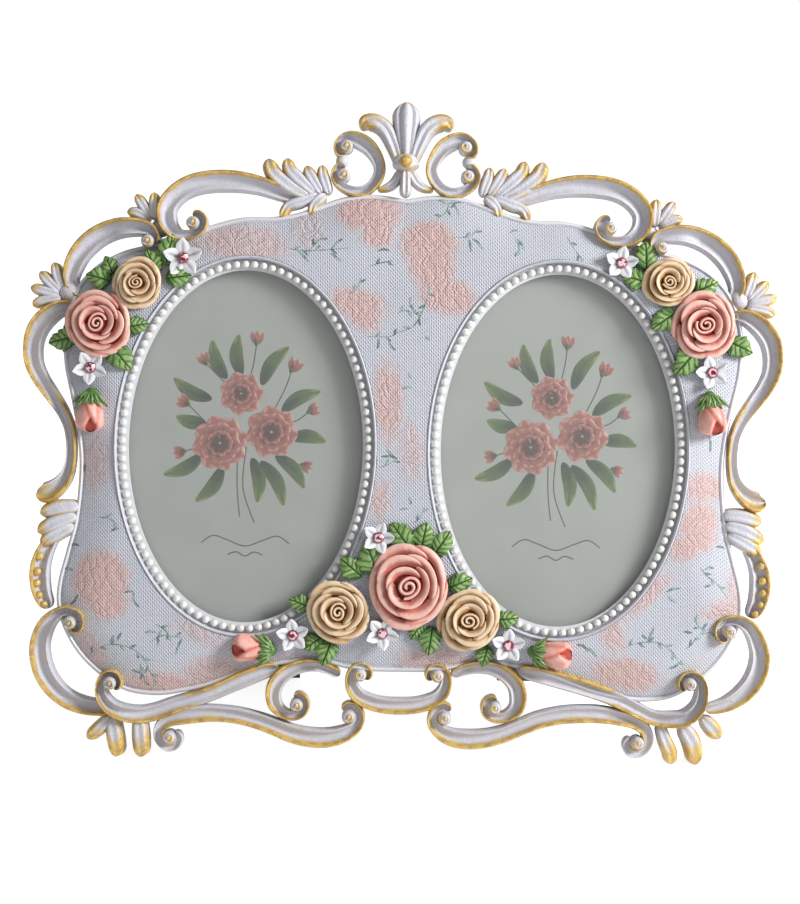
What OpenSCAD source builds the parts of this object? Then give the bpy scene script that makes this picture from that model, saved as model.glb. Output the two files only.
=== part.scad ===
// Double photo frame: a leaning resin front with two oval windows, openwork scrolls and modelled roses,
// two glazed pockets closed by velvet boards with turn buttons, and two hinged easel legs.
// Front pieces are drawn flat, u to the right, v up the panel and w out of its face, and then leaned back.

/* [Frame] */
// Width from a window's rim out to the middle of the side scroll
side_w = 27.3; // [24.3:0.5:30.3]
// Height from the top of a window's rim to the knot of the crest
head_h = 30.9; // [26.9:0.5:34.9]
// Height from the feet to the lowest edge of a window's rim
foot_h = 39.7; // [38.3:0.2:41.3]
// Angle that the frame leans back
lean = 14; // [10:1:18]

/* [Ovals] */
// Width of the window over each photo
sight_w = 79.6; // [76:0.2:81]
// Height of the window over each photo
sight_h = 119.6; // [114:0.2:121]
// Distance between the rims of the two windows
window_gap = 16.6; // [15.6:0.2:19.6]
// Width that the pocket behind is larger than the window, on each side
lip_w = 5; // [4:0.25:5.5]
// Depth of the pocket from the back of the panel
pocket_d = 6; // [5.8:0.1:6.4]
// Gap round what lies in the pocket
pocket_gap = 0.3; // [0.2:0.05:0.5]

/* [Panel] */
// Thickness of the panel at its outer edge
edge_t = 6; // [5:0.25:7]
// Thickness of the panel at its crown
crown_t = 10.4; // [9.6:0.2:12]
// Thickness of the panel round the windows
window_t = 9.2; // [8.6:0.2:9.6]
// Distance from the outer edge at which the crown is reached
crown_reach = 17; // [12:1:22]

/* [Pearls] */
// Diameter of a pearl
pearl_d = 2.4; // [2:0.1:2.6]
// Number of pearls round a window
pearl_count = 107; // [90:1:110]
// Distance from the edge of the window to the middle of the pearls
pearl_inset = 1.9; // [1.7:0.1:2.2]
// Width of the smooth rim round the pearls
rim_w = 1.4; // [1:0.1:1.8]
// Height of the rim above the seat of the pearls
rim_t = 1.6; // [1.2:0.1:2]

/* [Scrolls] */
// Widest width of a ribbon of the scrollwork
ribbon_w = 7; // [6:0.25:8]
// Height of a ribbon's gilded ridge above the back of the panel
ribbon_t = 9.4; // [8.4:0.2:10]
// Height at which the back of a ribbon stands above the back of the panel
ribbon_back = 0.8; // [0.4:0.1:1.2]
// Height of the crest's middle leaf
finial_t = 12.4; // [11:0.2:13]
// Radius of the eye of a volute
eye_r = 2.1; // [1.8:0.1:2.3]
// Radius of the largest ball on the beaded strip
ball_r = 1.3; // [1:0.1:1.5]

/* [Flowers] */
// Radius of the side roses
rose_r = 11; // [10:0.25:11.5]
// Radius of the middle rose
middle_rose_r = 13.8; // [13:0.25:14.25]
// Radius of the cream roses at the shoulders
small_rose_r = 8.4; // [7.8:0.2:8.8]
// Radius of the cream roses at the foot
cream_rose_r = 10.4; // [9.8:0.2:10.8]
// Height of a rose above the panel, at its widest size
rose_t = 9; // [8:0.25:10]
// Radius of a blossom
blossom_r = 5.8; // [5.4:0.1:6.2]
// Radius of the red stone in a blossom
stone_r = 1.9; // [1.6:0.1:2]
// Length of a rosebud
bud_l = 13.5; // [12.5:0.25:14.5]
// Width of a rosebud
bud_w = 9.4; // [8.8:0.2:10]
// Length of a rose leaf
leaf_l = 9; // [8.5:0.25:9.5]

/* [Glazing] */
// Thickness of the glass
glass_t = 2; // [1.8:0.1:2.2]
// Thickness of the photo card
card_t = 0.4; // [0.3:0.05:0.5]
// Thickness of the packing card
packing_t = 1.1; // [0.9:0.1:1.3]

/* [Back] */
// Height of the easel hinges up the panel
hinge_v = 149; // [146:1:152]
// Angle between an open easel leg and the panel
open_angle = 28; // [26:1:30]
// Width of an easel leg at its hinge
leg_top_w = 24; // [20:1:28]
// Width of an easel leg at its foot
leg_foot_w = 32; // [28:1:36]
// Thickness of an easel leg
leg_t = 2.2; // [2:0.1:2.4]
// Thickness of the sheet metal of hinges and buttons
sheet_t = 0.8; // [0.7:0.05:0.9]
// Outer radius of a hinge knuckle
knuckle_r = 1.6; // [1.5:0.05:1.7]
// Radius of a hinge pin
pin_r = 0.8; // [0.7:0.05:0.9]
// Width of a hinge
hinge_w = 20; // [18:1:22]
// Length of a hinge leaf up or down from its pin
leaf_plate_l = 10; // [9:0.5:11]
// Length of a turn button
button_l = 12; // [11:0.5:13]
// Width of a turn button
button_w = 6; // [5.5:0.25:6.5]
// Distance from the edge of the pocket to the screw of a turn button
button_set = 4.2; // [4:0.1:4.6]
// Radius of a screw's shank
screw_r = 0.9; // [0.8:0.05:1]
// Length of a screw's shank in the panel
screw_l = 3.6; // [3:0.2:4]

/* [Hidden] */

arc_steps = 72;
// Clearance round a turning pin, and under a turning button
turn_gap = 0.05;
sheet_gap = 0.12;
// Depth that one cast piece is let into the next
seat = 0.5;
// Gap between the pearls and their rim, and height of the rim over the panel's crown
rim_gap = 0.4;
// The step of a window, which holds the pearls and their rim
step_a = sight_w / 2 + pearl_inset + pearl_d / 2 + rim_gap + rim_w;
step_b = sight_h / 2 + pearl_inset + pearl_d / 2 + rim_gap + rim_w;
// Distance between the middles of the windows, and their height up the panel
oval_pitch = 2 * step_a + window_gap;
oval_v = foot_h + step_b;
// Half the width between the middles of the side scrolls, and height of the knot of the crest
half_w = oval_pitch / 2 + step_a + side_w;
knot_h = oval_v + step_b + head_h;
cut = 2 * half_w;
board_t = pocket_d - glass_t - card_t - packing_t;
pocket_a = sight_w / 2 + lip_w;
pocket_b = sight_h / 2 + lip_w;

// Place the whole frame: leaned back, with the middle of its depth over the origin
leg_run = hinge_v * cos(lean) / cos(open_angle - lean);
// Height of the easel hinge's axis over the back of the panel
axis_w = -(knuckle_r + sheet_gap + sheet_t / 2);
tilt = open_angle - lean;
back_reach = hinge_v * sin(lean) - axis_w * cos(lean) + (hinge_v * cos(lean) + axis_w * sin(lean)) * tan(tilt)
    + (knuckle_r - sheet_t) / cos(tilt);
// Share of a ribbon's height that the feet reach forward of the panel's back, where they meet the table
foot_share = 0.863;
front_reach = foot_share * ribbon_t;
depth_shift = (front_reach - back_reach) / 2;
module stand() translate([0, depth_shift, 0]) rotate([90 - lean, 0, 0]) children();
module above_table() intersection() {
    children();
    rotate([lean, 0, 0]) translate([-cut, 0, -cut]) cube(2 * cut);
}
module side(s) if (s < 0) mirror([1, 0, 0]) children(); else children();

// Smooth curve through points of any number of values, with n steps between two points
function spline_at(a, b, c, d, t) =
    (2 * b + (c - a) * t + (2 * a - 5 * b + 4 * c - d) * t * t + (3 * b - a - 3 * c + d) * t * t * t) / 2;
function smooth(p, n) = let (last = len(p) - 1) [
    for (i = [0 : last - 1]) for (k = [0 : n - 1])
        spline_at(p[max(i - 1, 0)], p[i], p[i + 1], p[min(i + 2, last)], k / n),
    p[last]
];
function ellipse(a, b, n) = [for (i = [0 : n - 1]) [a * cos(360 * i / n), b * sin(360 * i / n)]];
function heading(p, i) = let (
    a = p[max(i - 1, 0)],
    b = p[min(i + 1, len(p) - 1)],
    d = [b[0] - a[0], b[1] - a[1]]
) d / norm(d);

// Closed skin over rings of m points each, listed so that the faces look outwards
module skin(rings, turned = false) {
    m = len(rings[0]);
    n = len(rings);
    wall = [
        for (i = [0 : n - 2]) for (j = [0 : m - 1]) let (a = i * m + j, b = i * m + (j + 1) % m)
            each [[a, b, b + m], [a, b + m, a + m]]
    ];
    caps = [[for (j = [0 : m - 1]) (m - j) % m], [for (j = [0 : m - 1]) (n - 1) * m + j]];
    faces = concat(wall, caps);
    polyhedron(
        points = [for (r = rings) each r],
        faces = turned ? faces : [for (f = faces) [for (k = [len(f) - 1 : -1 : 0]) f[k]]]
    );
}

// Cross-section of a ribbon: its channel first, then round by the inner ridge, the back and the gilded ridge.
// The first share is across the half width, the second is of the height.
ribbon_shares = [[0.05, 0.58], [-0.72, 0.74], [-1, 0.4], [-0.92, 0], [0.92, 0], [1, 0.6], [0.68, 1]];
// Cross-section of a leaf lobe, rounded over its back
lobe_shares = [[0, 1], [-0.68, 0.82], [-1, 0.3], [-0.8, 0], [0.8, 0], [1, 0.3], [0.68, 0.82]];

// A path is rows of: share of the half width, share of the knot's height, share of the ribbon's width
function path_of(rows, top) = [
    for (r = rows) [r[0] * half_w, r[1] * knot_h, r[2] * ribbon_w, top * (0.62 + 0.38 * min(1, r[2]))]
];
module sweep(rows, shares, top, steps, s = 1) {
    p = smooth(path_of(rows, top), steps);
    skin([
        for (i = [0 : len(p) - 1]) let (t = heading(p, i), n = s * [-t[1], t[0]], h = p[i][2] / 2)
            [for (q = shares) [p[i][0] + n[0] * q[0] * h, p[i][1] + n[1] * q[0] * h,
                ribbon_back + q[1] * (p[i][3] - ribbon_back)]]
    ], s < 0);
}
module ribbon(rows, s = 1, steps = 2) sweep(rows, ribbon_shares, ribbon_t, steps, s);
module lobe(rows, top = ribbon_t, steps = 2) sweep(rows, lobe_shares, top, steps);
// Eye of a volute: a turned stub with a domed end
eye_shares = [[0, 0], [1, 0], [1, 0.74], [0.86, 0.88], [0.5, 0.98], [0, 1]];
module eye(row) translate([row[0] * half_w, row[1] * knot_h, ribbon_back])
    rotate_extrude($fn = 32) polygon([for (q = eye_shares) [q[0] * eye_r, q[1] * (ribbon_t - ribbon_back)]]);

// Outline of the panel's right half, from the top of the middle round to its foot
panel_shares = [
    [0, 0.946], [0.08, 0.953], [0.16, 0.949], [0.22, 0.937], [0.29, 0.921], [0.36, 0.913],
    [0.44, 0.9115], [0.52, 0.899], [0.62, 0.876], [0.7, 0.8625], [0.77, 0.85], [0.84, 0.825],
    [0.895, 0.785], [0.924, 0.725], [0.922, 0.66], [0.902, 0.6], [0.884, 0.54], [0.877, 0.48],
    [0.887, 0.4], [0.91, 0.34], [0.93, 0.29], [0.933, 0.25], [0.912, 0.205], [0.87, 0.163],
    [0.81, 0.128], [0.74, 0.103], [0.66, 0.0965], [0.59, 0.102], [0.52, 0.112], [0.44, 0.131],
    [0.37, 0.145], [0.29, 0.153], [0.22, 0.157], [0.14, 0.146], [0.07, 0.142], [0, 0.1415]
];
function panel_point(q) = [q[0] * half_w, q[1] * knot_h];
panel_edge = smooth([for (q = panel_shares) panel_point(q)], 2);
seam_steps = 12;
panel_top = panel_edge[0][1];
panel_foot = panel_edge[len(panel_edge) - 1][1];
seam = [for (i = [1 : seam_steps - 1]) [0, panel_foot + (panel_top - panel_foot) * i / seam_steps]];
panel_round = concat(panel_edge, seam);

function span_gap(p, a, b) = let (d = b - a, t = max(0, min(1, (p - a) * d / (d * d)))) norm(p - a - t * d);
function edge_gap(p) = min([
    for (i = [0 : len(panel_edge) - 2]) span_gap(p, panel_edge[i], panel_edge[i + 1])
]);
function oval_reach(p, a, b) = let (q = [(p[0] - oval_pitch / 2) / a, (p[1] - oval_v) / b]) norm(q);
function crown(p) = edge_t + (crown_t - edge_t) * sin(90 * min(1, edge_gap(p) / crown_reach));
function oval_point(p, a, b) = let (q = [p[0] - oval_pitch / 2, p[1] - oval_v]) [oval_pitch / 2, oval_v]
    + q / norm([q[0] / a, q[1] / b]);

// Points between the window and the outline: shares of the way, outline first
step_shares = [1, 0.82, 0.58, 0.3, 0];
// Height of the floor of a window's step
seat_w = window_t - rim_t;
module panel_half() {
    m = len(step_shares) + 6;
    n = len(panel_round);
    rings = [
        for (p = panel_round) let (
            o = oval_point(p, step_a, step_b),
            s = oval_point(p, sight_w / 2, sight_h / 2),
            k = oval_point(p, pocket_a, pocket_b)
        ) concat(
            [for (q = step_shares) let (x = o + q * (p - o))
                [x[0], x[1], q == 0 ? max(crown(x), window_t) : q < 1 || p[0] == 0 ? crown(x) : edge_t]],
            [
                [o[0], o[1], seat_w], [s[0], s[1], seat_w], [s[0], s[1], pocket_d], [k[0], k[1], pocket_d],
                [k[0], k[1], 0], [p[0], p[1], 0]
            ]
        )
    ];
    polyhedron(
        points = [for (r = rings) each r],
        faces = [
            for (i = [0 : n - 1]) for (j = [0 : m - 1])
                let (a = i * m + j, b = i * m + (j + 1) % m, c = (i + 1) % n * m + (j + 1) % m)
                    each [[a, c, b], [a, c - (j + 1) % m + j, c]]
        ]
    );
}
module front_panel() color("lavender") stand() union() {
    panel_half();
    mirror([1, 0, 0]) panel_half();
}

module at_oval(s) translate([s * oval_pitch / 2, oval_v, 0]) children();
module oval_rim(s) color("white") stand() at_oval(s) translate([0, 0, seat_w])
    linear_extrude(crown_t + rim_gap - seat_w) difference() {
        polygon(ellipse(step_a, step_b, arc_steps));
        polygon(ellipse(step_a - rim_w, step_b - rim_w, arc_steps));
    }

// Pearls at even steps along the oval: the angle for each share of its length comes from running sums
function pearl_walk(a, b, n, i = 0, sum = [0]) = i == n ? sum :
    let (t = 360 * (i + 0.5) / n, d = norm([a * sin(t), b * cos(t)]) * PI * 2 / n)
        pearl_walk(a, b, n, i + 1, concat(sum, [sum[i] + d]));
function walk_angle(sums, d, n, i = 0) = sums[i + 1] >= d || i == n - 1 ?
    360 * (i + (d - sums[i]) / (sums[i + 1] - sums[i])) / n : walk_angle(sums, d, n, i + 1);
// Share of a pearl's radius that it is sunk in its seat
pearl_sink_share = 0.08;
module pearls(s) color("ivory") stand() at_oval(s) {
    a = sight_w / 2 + pearl_inset;
    b = sight_h / 2 + pearl_inset;
    n = 2 * arc_steps;
    sums = pearl_walk(a, b, n);
    for (i = [0 : pearl_count - 1]) let (t = walk_angle(sums, sums[n] * i / pearl_count, n))
        translate([a * cos(t), b * sin(t), seat_w + (1 - pearl_sink_share) * pearl_d / 2])
            sphere(d = pearl_d, $fn = 16);
}

// Scrollwork, drawn to the right and mirrored to the left. It is modelled by hand, so five of its pieces
// have rows of their own on the right, in tables with right in their names.
crest_row_shares = [
    [0.164, 1.0215, 0.3], [0.18, 1.025, 0.4], [0.182, 1.037, 0.46], [0.168, 1.0475, 0.54],
    [0.148, 1.0495, 0.66], [0.126, 1.0435, 0.8], [0.102, 1.034, 0.78], [0.082, 1.018, 0.68],
    [0.071, 0.9995, 0.6], [0.077, 0.982, 0.58], [0.097, 0.966, 0.56], [0.124, 0.9585, 0.56],
    [0.152, 0.9605, 0.54], [0.178, 0.97, 0.48], [0.19, 0.986, 0.44], [0.18, 0.998, 0.36],
    [0.166, 0.9965, 0.26]
];
crest_eye_shares = [[0.162, 1.034], [0.169, 0.985]];
top_row_shares = [
    [0.27, 0.943, 0.5], [0.32, 0.95, 0.74], [0.4, 0.966, 0.92], [0.48, 0.9725, 1.06],
    [0.56, 0.968, 1.06], [0.614, 0.9525, 1.02], [0.646, 0.927, 1], [0.643, 0.899, 0.92],
    [0.616, 0.8805, 0.68], [0.584, 0.88, 0.54], [0.558, 0.8875, 0.48], [0.548, 0.9015, 0.42],
    [0.56, 0.9125, 0.36], [0.576, 0.912, 0.28]
];
top_eye_shares = [[0.5745, 0.8995]];
top_right_row_shares = [
    [0.27, 0.943, 0.5], [0.32, 0.95, 0.74], [0.4, 0.966, 0.92], [0.48, 0.9725, 1.06],
    [0.56, 0.968, 1.06], [0.614, 0.9525, 1.02], [0.646, 0.927, 1], [0.64, 0.899, 0.9],
    [0.607, 0.88, 0.7], [0.567, 0.8785, 0.56], [0.538, 0.888, 0.5], [0.528, 0.9025, 0.44],
    [0.541, 0.9135, 0.36], [0.557, 0.913, 0.28]
];
top_right_eye_shares = [[0.5565, 0.8995]];
shoulder_row_shares = [
    [0.68, 0.864, 0.36], [0.678, 0.877, 0.5], [0.692, 0.887, 0.66], [0.72, 0.891, 0.84],
    [0.76, 0.891, 0.94], [0.802, 0.885, 1.02], [0.842, 0.8715, 1.06], [0.877, 0.85, 1.04],
    [0.899, 0.825, 0.94], [0.906, 0.8025, 0.76], [0.894, 0.786, 0.5], [0.876, 0.7775, 0.34]
];
shoulder_eye_shares = [[0.696, 0.867]];
side_row_shares = [
    [0.89, 0.755, 0.4], [0.929, 0.753, 0.76], [0.966, 0.7385, 0.94], [0.994, 0.7165, 0.96],
    [1.006, 0.69, 0.9], [1.004, 0.66, 0.86], [0.986, 0.634, 0.8], [0.958, 0.608, 0.74],
    [0.928, 0.58, 0.66], [0.908, 0.552, 0.58], [0.901, 0.5225, 0.54], [0.902, 0.4925, 0.54],
    [0.913, 0.468, 0.64], [0.938, 0.4485, 0.78], [0.97, 0.4385, 0.78], [0.998, 0.4375, 0.46]
];
strip_row_shares = [
    [0.94, 0.365, 0.5], [0.964, 0.3425, 0.78], [0.978, 0.3175, 0.92], [0.98, 0.2925, 0.96],
    [0.973, 0.2665, 0.86], [0.954, 0.242, 0.62]
];
strip_ball_shares = [
    [0.98, 0.331, 1], [0.9856, 0.305, 0.96], [0.9864, 0.285, 0.92], [0.98, 0.265, 0.86], [0.9656, 0.249, 0.8]
];
lower_row_shares = [
    [0.89, 0.207, 0.28], [0.872, 0.2105, 0.36], [0.866, 0.223, 0.42], [0.877, 0.2345, 0.48],
    [0.902, 0.239, 0.52], [0.926, 0.2345, 0.6], [0.949, 0.2225, 0.74], [0.967, 0.204, 0.86],
    [0.978, 0.1775, 0.94], [0.973, 0.15, 0.98], [0.957, 0.125, 0.98], [0.93, 0.103, 0.94],
    [0.894, 0.0865, 0.86], [0.852, 0.0775, 0.72], [0.812, 0.075, 0.6]
];
lower_eye_shares = [[0.893, 0.2195]];
lower_right_row_shares = [
    [0.89, 0.207, 0.28], [0.872, 0.2105, 0.36], [0.866, 0.223, 0.42], [0.877, 0.2345, 0.48],
    [0.902, 0.239, 0.52], [0.93, 0.235, 0.62], [0.956, 0.222, 0.76], [0.974, 0.2, 0.86],
    [0.982, 0.1775, 0.94], [0.977, 0.153, 0.98], [0.96, 0.13, 0.96], [0.93, 0.1095, 0.88],
    [0.894, 0.095, 0.74], [0.86, 0.088, 0.6], [0.836, 0.0855, 0.48]
];
corner_row_shares = [
    [0.772, 0.1085, 0.28], [0.761, 0.118, 0.36], [0.769, 0.13, 0.42], [0.789, 0.1315, 0.46],
    [0.805, 0.1195, 0.5], [0.806, 0.0995, 0.54], [0.786, 0.08, 0.66], [0.752, 0.0685, 0.78],
    [0.704, 0.064, 0.86], [0.66, 0.069, 0.86], [0.616, 0.079, 0.8], [0.568, 0.089, 0.64],
    [0.52, 0.096, 0.52], [0.472, 0.1115, 0.5], [0.416, 0.13, 0.46], [0.368, 0.142, 0.36]
];
corner_eye_shares = [[0.7815, 0.1185]];
corner_right_row_shares = [
    [0.778, 0.119, 0.28], [0.768, 0.1295, 0.36], [0.778, 0.1415, 0.42], [0.8, 0.1435, 0.46],
    [0.82, 0.1315, 0.52], [0.823, 0.11, 0.6], [0.811, 0.088, 0.7], [0.78, 0.0715, 0.77],
    [0.74, 0.0675, 0.8], [0.696, 0.07, 0.74], [0.652, 0.082, 0.72], [0.608, 0.0965, 0.72],
    [0.56, 0.1095, 0.72], [0.504, 0.121, 0.66], [0.448, 0.1315, 0.6], [0.4, 0.139, 0.5],
    [0.36, 0.143, 0.4]
];
corner_right_eye_shares = [[0.788, 0.1295]];
base_row_shares = [
    [0.61, 0.035, 0.26], [0.598, 0.023, 0.36], [0.609, 0.0105, 0.44], [0.632, 0.0105, 0.5],
    [0.65, 0.0245, 0.56], [0.647, 0.0425, 0.6], [0.623, 0.0555, 0.7], [0.588, 0.0625, 0.86],
    [0.544, 0.0665, 0.88], [0.496, 0.0675, 0.82], [0.44, 0.0645, 0.8], [0.384, 0.0565, 0.82],
    [0.332, 0.0455, 0.86], [0.288, 0.035, 0.9], [0.24, 0.029, 0.94], [0.192, 0.0285, 0.94],
    [0.15, 0.035, 0.86], [0.12, 0.0455, 0.68], [0.105, 0.06, 0.56], [0.111, 0.0755, 0.48],
    [0.132, 0.083, 0.4], [0.152, 0.076, 0.3]
];
base_eye_shares = [[0.135, 0.065], [0.622, 0.0265]];
base_right_row_shares = [
    [0.636, 0.035, 0.26], [0.625, 0.023, 0.36], [0.637, 0.0105, 0.44], [0.662, 0.0115, 0.52],
    [0.68, 0.028, 0.6], [0.674, 0.048, 0.64], [0.646, 0.0615, 0.68], [0.602, 0.0695, 0.78],
    [0.552, 0.0745, 0.86], [0.496, 0.075, 0.88], [0.44, 0.072, 0.86], [0.384, 0.064, 0.84],
    [0.336, 0.052, 0.82], [0.288, 0.0395, 0.84], [0.24, 0.0315, 0.9], [0.192, 0.029, 0.94],
    [0.148, 0.032, 0.88], [0.113, 0.0425, 0.72], [0.0945, 0.0585, 0.58], [0.1, 0.0755, 0.48],
    [0.121, 0.084, 0.4], [0.143, 0.0775, 0.3]
];
base_right_eye_shares = [[0.126, 0.065], [0.651, 0.0275]];
inner_row_shares = [
    [0.16, 0.135, 0.42], [0.192, 0.145, 0.56], [0.228, 0.1515, 0.68], [0.264, 0.1495, 0.72],
    [0.298, 0.1415, 0.76], [0.325, 0.1275, 0.8], [0.34, 0.1075, 0.78], [0.336, 0.085, 0.7],
    [0.314, 0.07, 0.56], [0.286, 0.0655, 0.48], [0.262, 0.072, 0.44], [0.254, 0.0865, 0.4],
    [0.267, 0.0975, 0.34], [0.284, 0.096, 0.26]
];
inner_eye_shares = [[0.277, 0.0835]];
inner_right_row_shares = [
    [0.144, 0.1365, 0.5], [0.176, 0.147, 0.62], [0.216, 0.152, 0.7], [0.256, 0.15, 0.76],
    [0.292, 0.139, 0.82], [0.318, 0.122, 0.86], [0.326, 0.1015, 0.86], [0.32, 0.083, 0.76],
    [0.297, 0.07, 0.6], [0.268, 0.066, 0.5], [0.243, 0.0735, 0.46], [0.238, 0.088, 0.4],
    [0.251, 0.0965, 0.34], [0.268, 0.095, 0.26]
];
inner_right_eye_shares = [[0.2615, 0.0835]];
swag_row_shares = [
    [0.092, 0.129, 0.28], [0.084, 0.139, 0.36], [0.095, 0.149, 0.4], [0.115, 0.1475, 0.46],
    [0.129, 0.1345, 0.54], [0.126, 0.116, 0.66], [0.107, 0.0995, 0.74], [0.072, 0.0895, 0.78],
    [0.036, 0.085, 0.8], [0, 0.084, 0.82]
];
swag_eye_shares = [[0.105, 0.1365]];
function mirrored(rows) = [for (i = [len(rows) - 2 : -1 : 0]) [-rows[i][0], rows[i][1], rows[i][2]]];

// Leaf lobes of the right side, each a path from its root to its tip
crest_lobe_shares = [
    [[0.26, 0.946, 0.4], [0.32, 0.966, 0.64], [0.362, 0.989, 0.66], [0.374, 1.011, 0.24]],
    [[0.244, 0.952, 0.4], [0.288, 0.976, 0.6], [0.316, 0.994, 0.56], [0.322, 1.0125, 0.2]],
    [[0.228, 0.953, 0.4], [0.25, 0.975, 0.52], [0.262, 0.9875, 0.5], [0.27, 1, 0.2]],
    [[0.208, 0.953, 0.4], [0.22, 0.975, 0.5], [0.226, 0.9875, 0.46], [0.228, 1.0015, 0.2]],
    [[0.236, 0.952, 0.4], [0.288, 0.939, 0.5], [0.32, 0.931, 0.44], [0.336, 0.912, 0.16]],
    [[0.216, 0.9525, 0.4], [0.236, 0.9425, 0.5], [0.25, 0.9325, 0.42], [0.256, 0.917, 0.16]]
];
fan_lobe_shares = [
    [[0.68, 0.905, 0.36], [0.683, 0.93, 0.46], [0.6825, 0.9515, 0.24]],
    [[0.69, 0.908, 0.36], [0.714, 0.93, 0.46], [0.732, 0.9475, 0.24]],
    [[0.694, 0.905, 0.36], [0.728, 0.9165, 0.46], [0.756, 0.9175, 0.24]],
    [[0.93, 0.785, 0.4], [0.944, 0.81, 0.48], [0.952, 0.83, 0.24]],
    [[0.936, 0.78, 0.4], [0.97, 0.8, 0.48], [0.99, 0.814, 0.24]],
    [[0.936, 0.775, 0.4], [0.984, 0.7825, 0.48], [1.015, 0.7875, 0.24]],
    [[0.932, 0.77, 0.4], [0.984, 0.765, 0.46], [1.008, 0.755, 0.22]]
];
acanthus_lobe_shares = [
    [[0.874, 0.416, 0.5], [0.93, 0.4135, 0.66], [0.98, 0.403, 0.2]],
    [[0.88, 0.4, 0.5], [0.936, 0.389, 0.68], [0.986, 0.371, 0.2]],
    [[0.888, 0.384, 0.5], [0.938, 0.368, 0.64], [0.978, 0.3515, 0.2]]
];
foot_lobe_shares = [
    [[0.78, 0.06, 0.5], [0.812, 0.04, 0.6], [0.844, 0.0225, 0.24]],
    [[0.776, 0.06, 0.6], [0.77, 0.03, 0.74], [0.764, 0.0075, 0.7], [0.764, -0.008, 0.4]],
    [[0.704, 0.06, 0.6], [0.7, 0.03, 0.74], [0.697, 0.0075, 0.7], [0.696, -0.008, 0.4]]
];
foot_right_lobe_shares = [
    [[0.826, 0.072, 0.5], [0.852, 0.055, 0.72], [0.875, 0.0365, 0.44]],
    [[0.77, 0.058, 0.6], [0.796, 0.034, 0.8], [0.806, 0.0125, 0.76], [0.81, -0.008, 0.44]],
    [[0.712, 0.06, 0.45], [0.728, 0.03, 0.6], [0.74, 0.0125, 0.62], [0.744, -0.008, 0.4]]
];
petal_row_shares = [
    [0.018, 1.005, 0.42], [0.034, 1.035, 0.58], [0.055, 1.0625, 0.66], [0.084, 1.0765, 0.64],
    [0.11, 1.076, 0.5], [0.124, 1.065, 0.24]
];
finial_row_shares = [
    [0, 1.01, 0.5], [0, 1.04, 1], [0, 1.065, 1.4], [0, 1.085, 1.42], [0, 1.1, 1], [0, 1.1085, 0.3]
];
tassel_row_shares = [[0, 0.995, 0.5], [0, 0.975, 0.56], [0, 0.95, 0.64]];
wing_row_shares = [[0.012, 0.995, 0.5], [0.03, 0.975, 0.5], [0.05, 0.966, 0.42], [0.076, 0.962, 0.2]];
knot_row_shares = [[-0.034, 1.004, 0.3], [-0.016, 1.0055, 0.64], [0.016, 1.0055, 0.64], [0.034, 1.004, 0.3]];

module scroll(s, rows, eyes, turn = 1) color("ghostwhite") stand() side(s) union() {
    ribbon(rows, turn);
    for (e = eyes) eye(e);
}
module leaves(s, lobes) color("whitesmoke") stand() side(s) union() for (l = lobes) lobe(l);
module crest_finial() color("whitesmoke") stand() union() {
    lobe(finial_row_shares, finial_t);
    lobe(knot_row_shares, finial_t + seat);
    lobe(tassel_row_shares, finial_t);
    for (s = [-1, 1]) side(s) {
        lobe(petal_row_shares, finial_t);
        lobe(wing_row_shares);
    }
}
module beaded_strip(s) color("ghostwhite") stand() side(s) union() {
    ribbon(strip_row_shares, -1);
    for (b = strip_ball_shares) translate([b[0] * half_w, b[1] * knot_h, ribbon_t * 0.62])
        sphere(r = b[2] * ball_r, $fn = 24);
}
// The swag runs from one volute across the middle to the other
module centre_swag() color("ghostwhite") stand() union() {
    ribbon(concat(swag_row_shares, mirrored(swag_row_shares)));
    for (s = [-1, 1]) side(s) for (e = swag_eye_shares) eye(e);
}
// The base scroll and the foot leaves carry the frame, so the table cuts them flat
module base_scroll(s, rows, eyes) color("ghostwhite") stand() side(s) above_table() union() {
    ribbon(rows);
    for (e = eyes) eye(e);
}
module foot_leaves(s, lobes) color("whitesmoke") stand() side(s) above_table() union() {
    for (l = lobes) lobe(l);
}

// Relief over a round or pointed plan, as a grid of n steps round and m steps out from its middle
module relief(reach, rise, n, m, foot = 0) {
    tops = [for (k = [1 : m]) for (i = [0 : n - 1]) let (a = 360 * i / n, q = k / m, r = reach(a) * q)
        [r * cos(a), r * sin(a), rise(q, a)]];
    rim = [for (i = [0 : n - 1]) let (a = 360 * i / n, r = reach(a)) [r * cos(a), r * sin(a), -foot]];
    first = 2;
    under = first + n * m;
    polyhedron(
        points = concat([[0, 0, rise(0, 0)], [0, 0, -foot]], tops, rim),
        faces = concat(
            [for (i = [0 : n - 1]) [0, first + (i + 1) % n, first + i]],
            [for (k = [0 : m - 1]) for (i = [0 : n - 1])
                let (a = first + k * n + i, b = first + k * n + (i + 1) % n)
                    each [[a, b, b + n], [a, b + n, a + n]]],
            [for (i = [0 : n - 1]) [1, under + i, under + (i + 1) % n]]
        )
    );
}

// Roses: place shares, radius, turn
pink_place_shares = [
    [-0.824, 0.725, rose_r, 20], [0.812, 0.7365, rose_r, 160], [0.0224, 0.29, middle_rose_r, 250]
];
cream_place_shares = [
    [-0.72, 0.795, small_rose_r, 80], [0.7128, 0.8085, small_rose_r, 200], [-0.1656, 0.245, cream_rose_r, 30],
    [0.1864, 0.234, cream_rose_r, 300]
];
petal_turns = 2.6;
lip_share = 0.085;
module rose(r) {
    t = rose_t * (0.5 + 0.5 * r / middle_rose_r);
    relief(
        function (a) r * (1 + 0.035 * cos(5 * a + 40)),
        function (q, a) t * (1 - 0.62 * q * q * q) - t * 0.14 * exp(-60 * q * q)
            + t * lip_share * cos(360 * petal_turns * q - a) * min(1, 3 * q),
        20, 9, seat
    );
}
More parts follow.
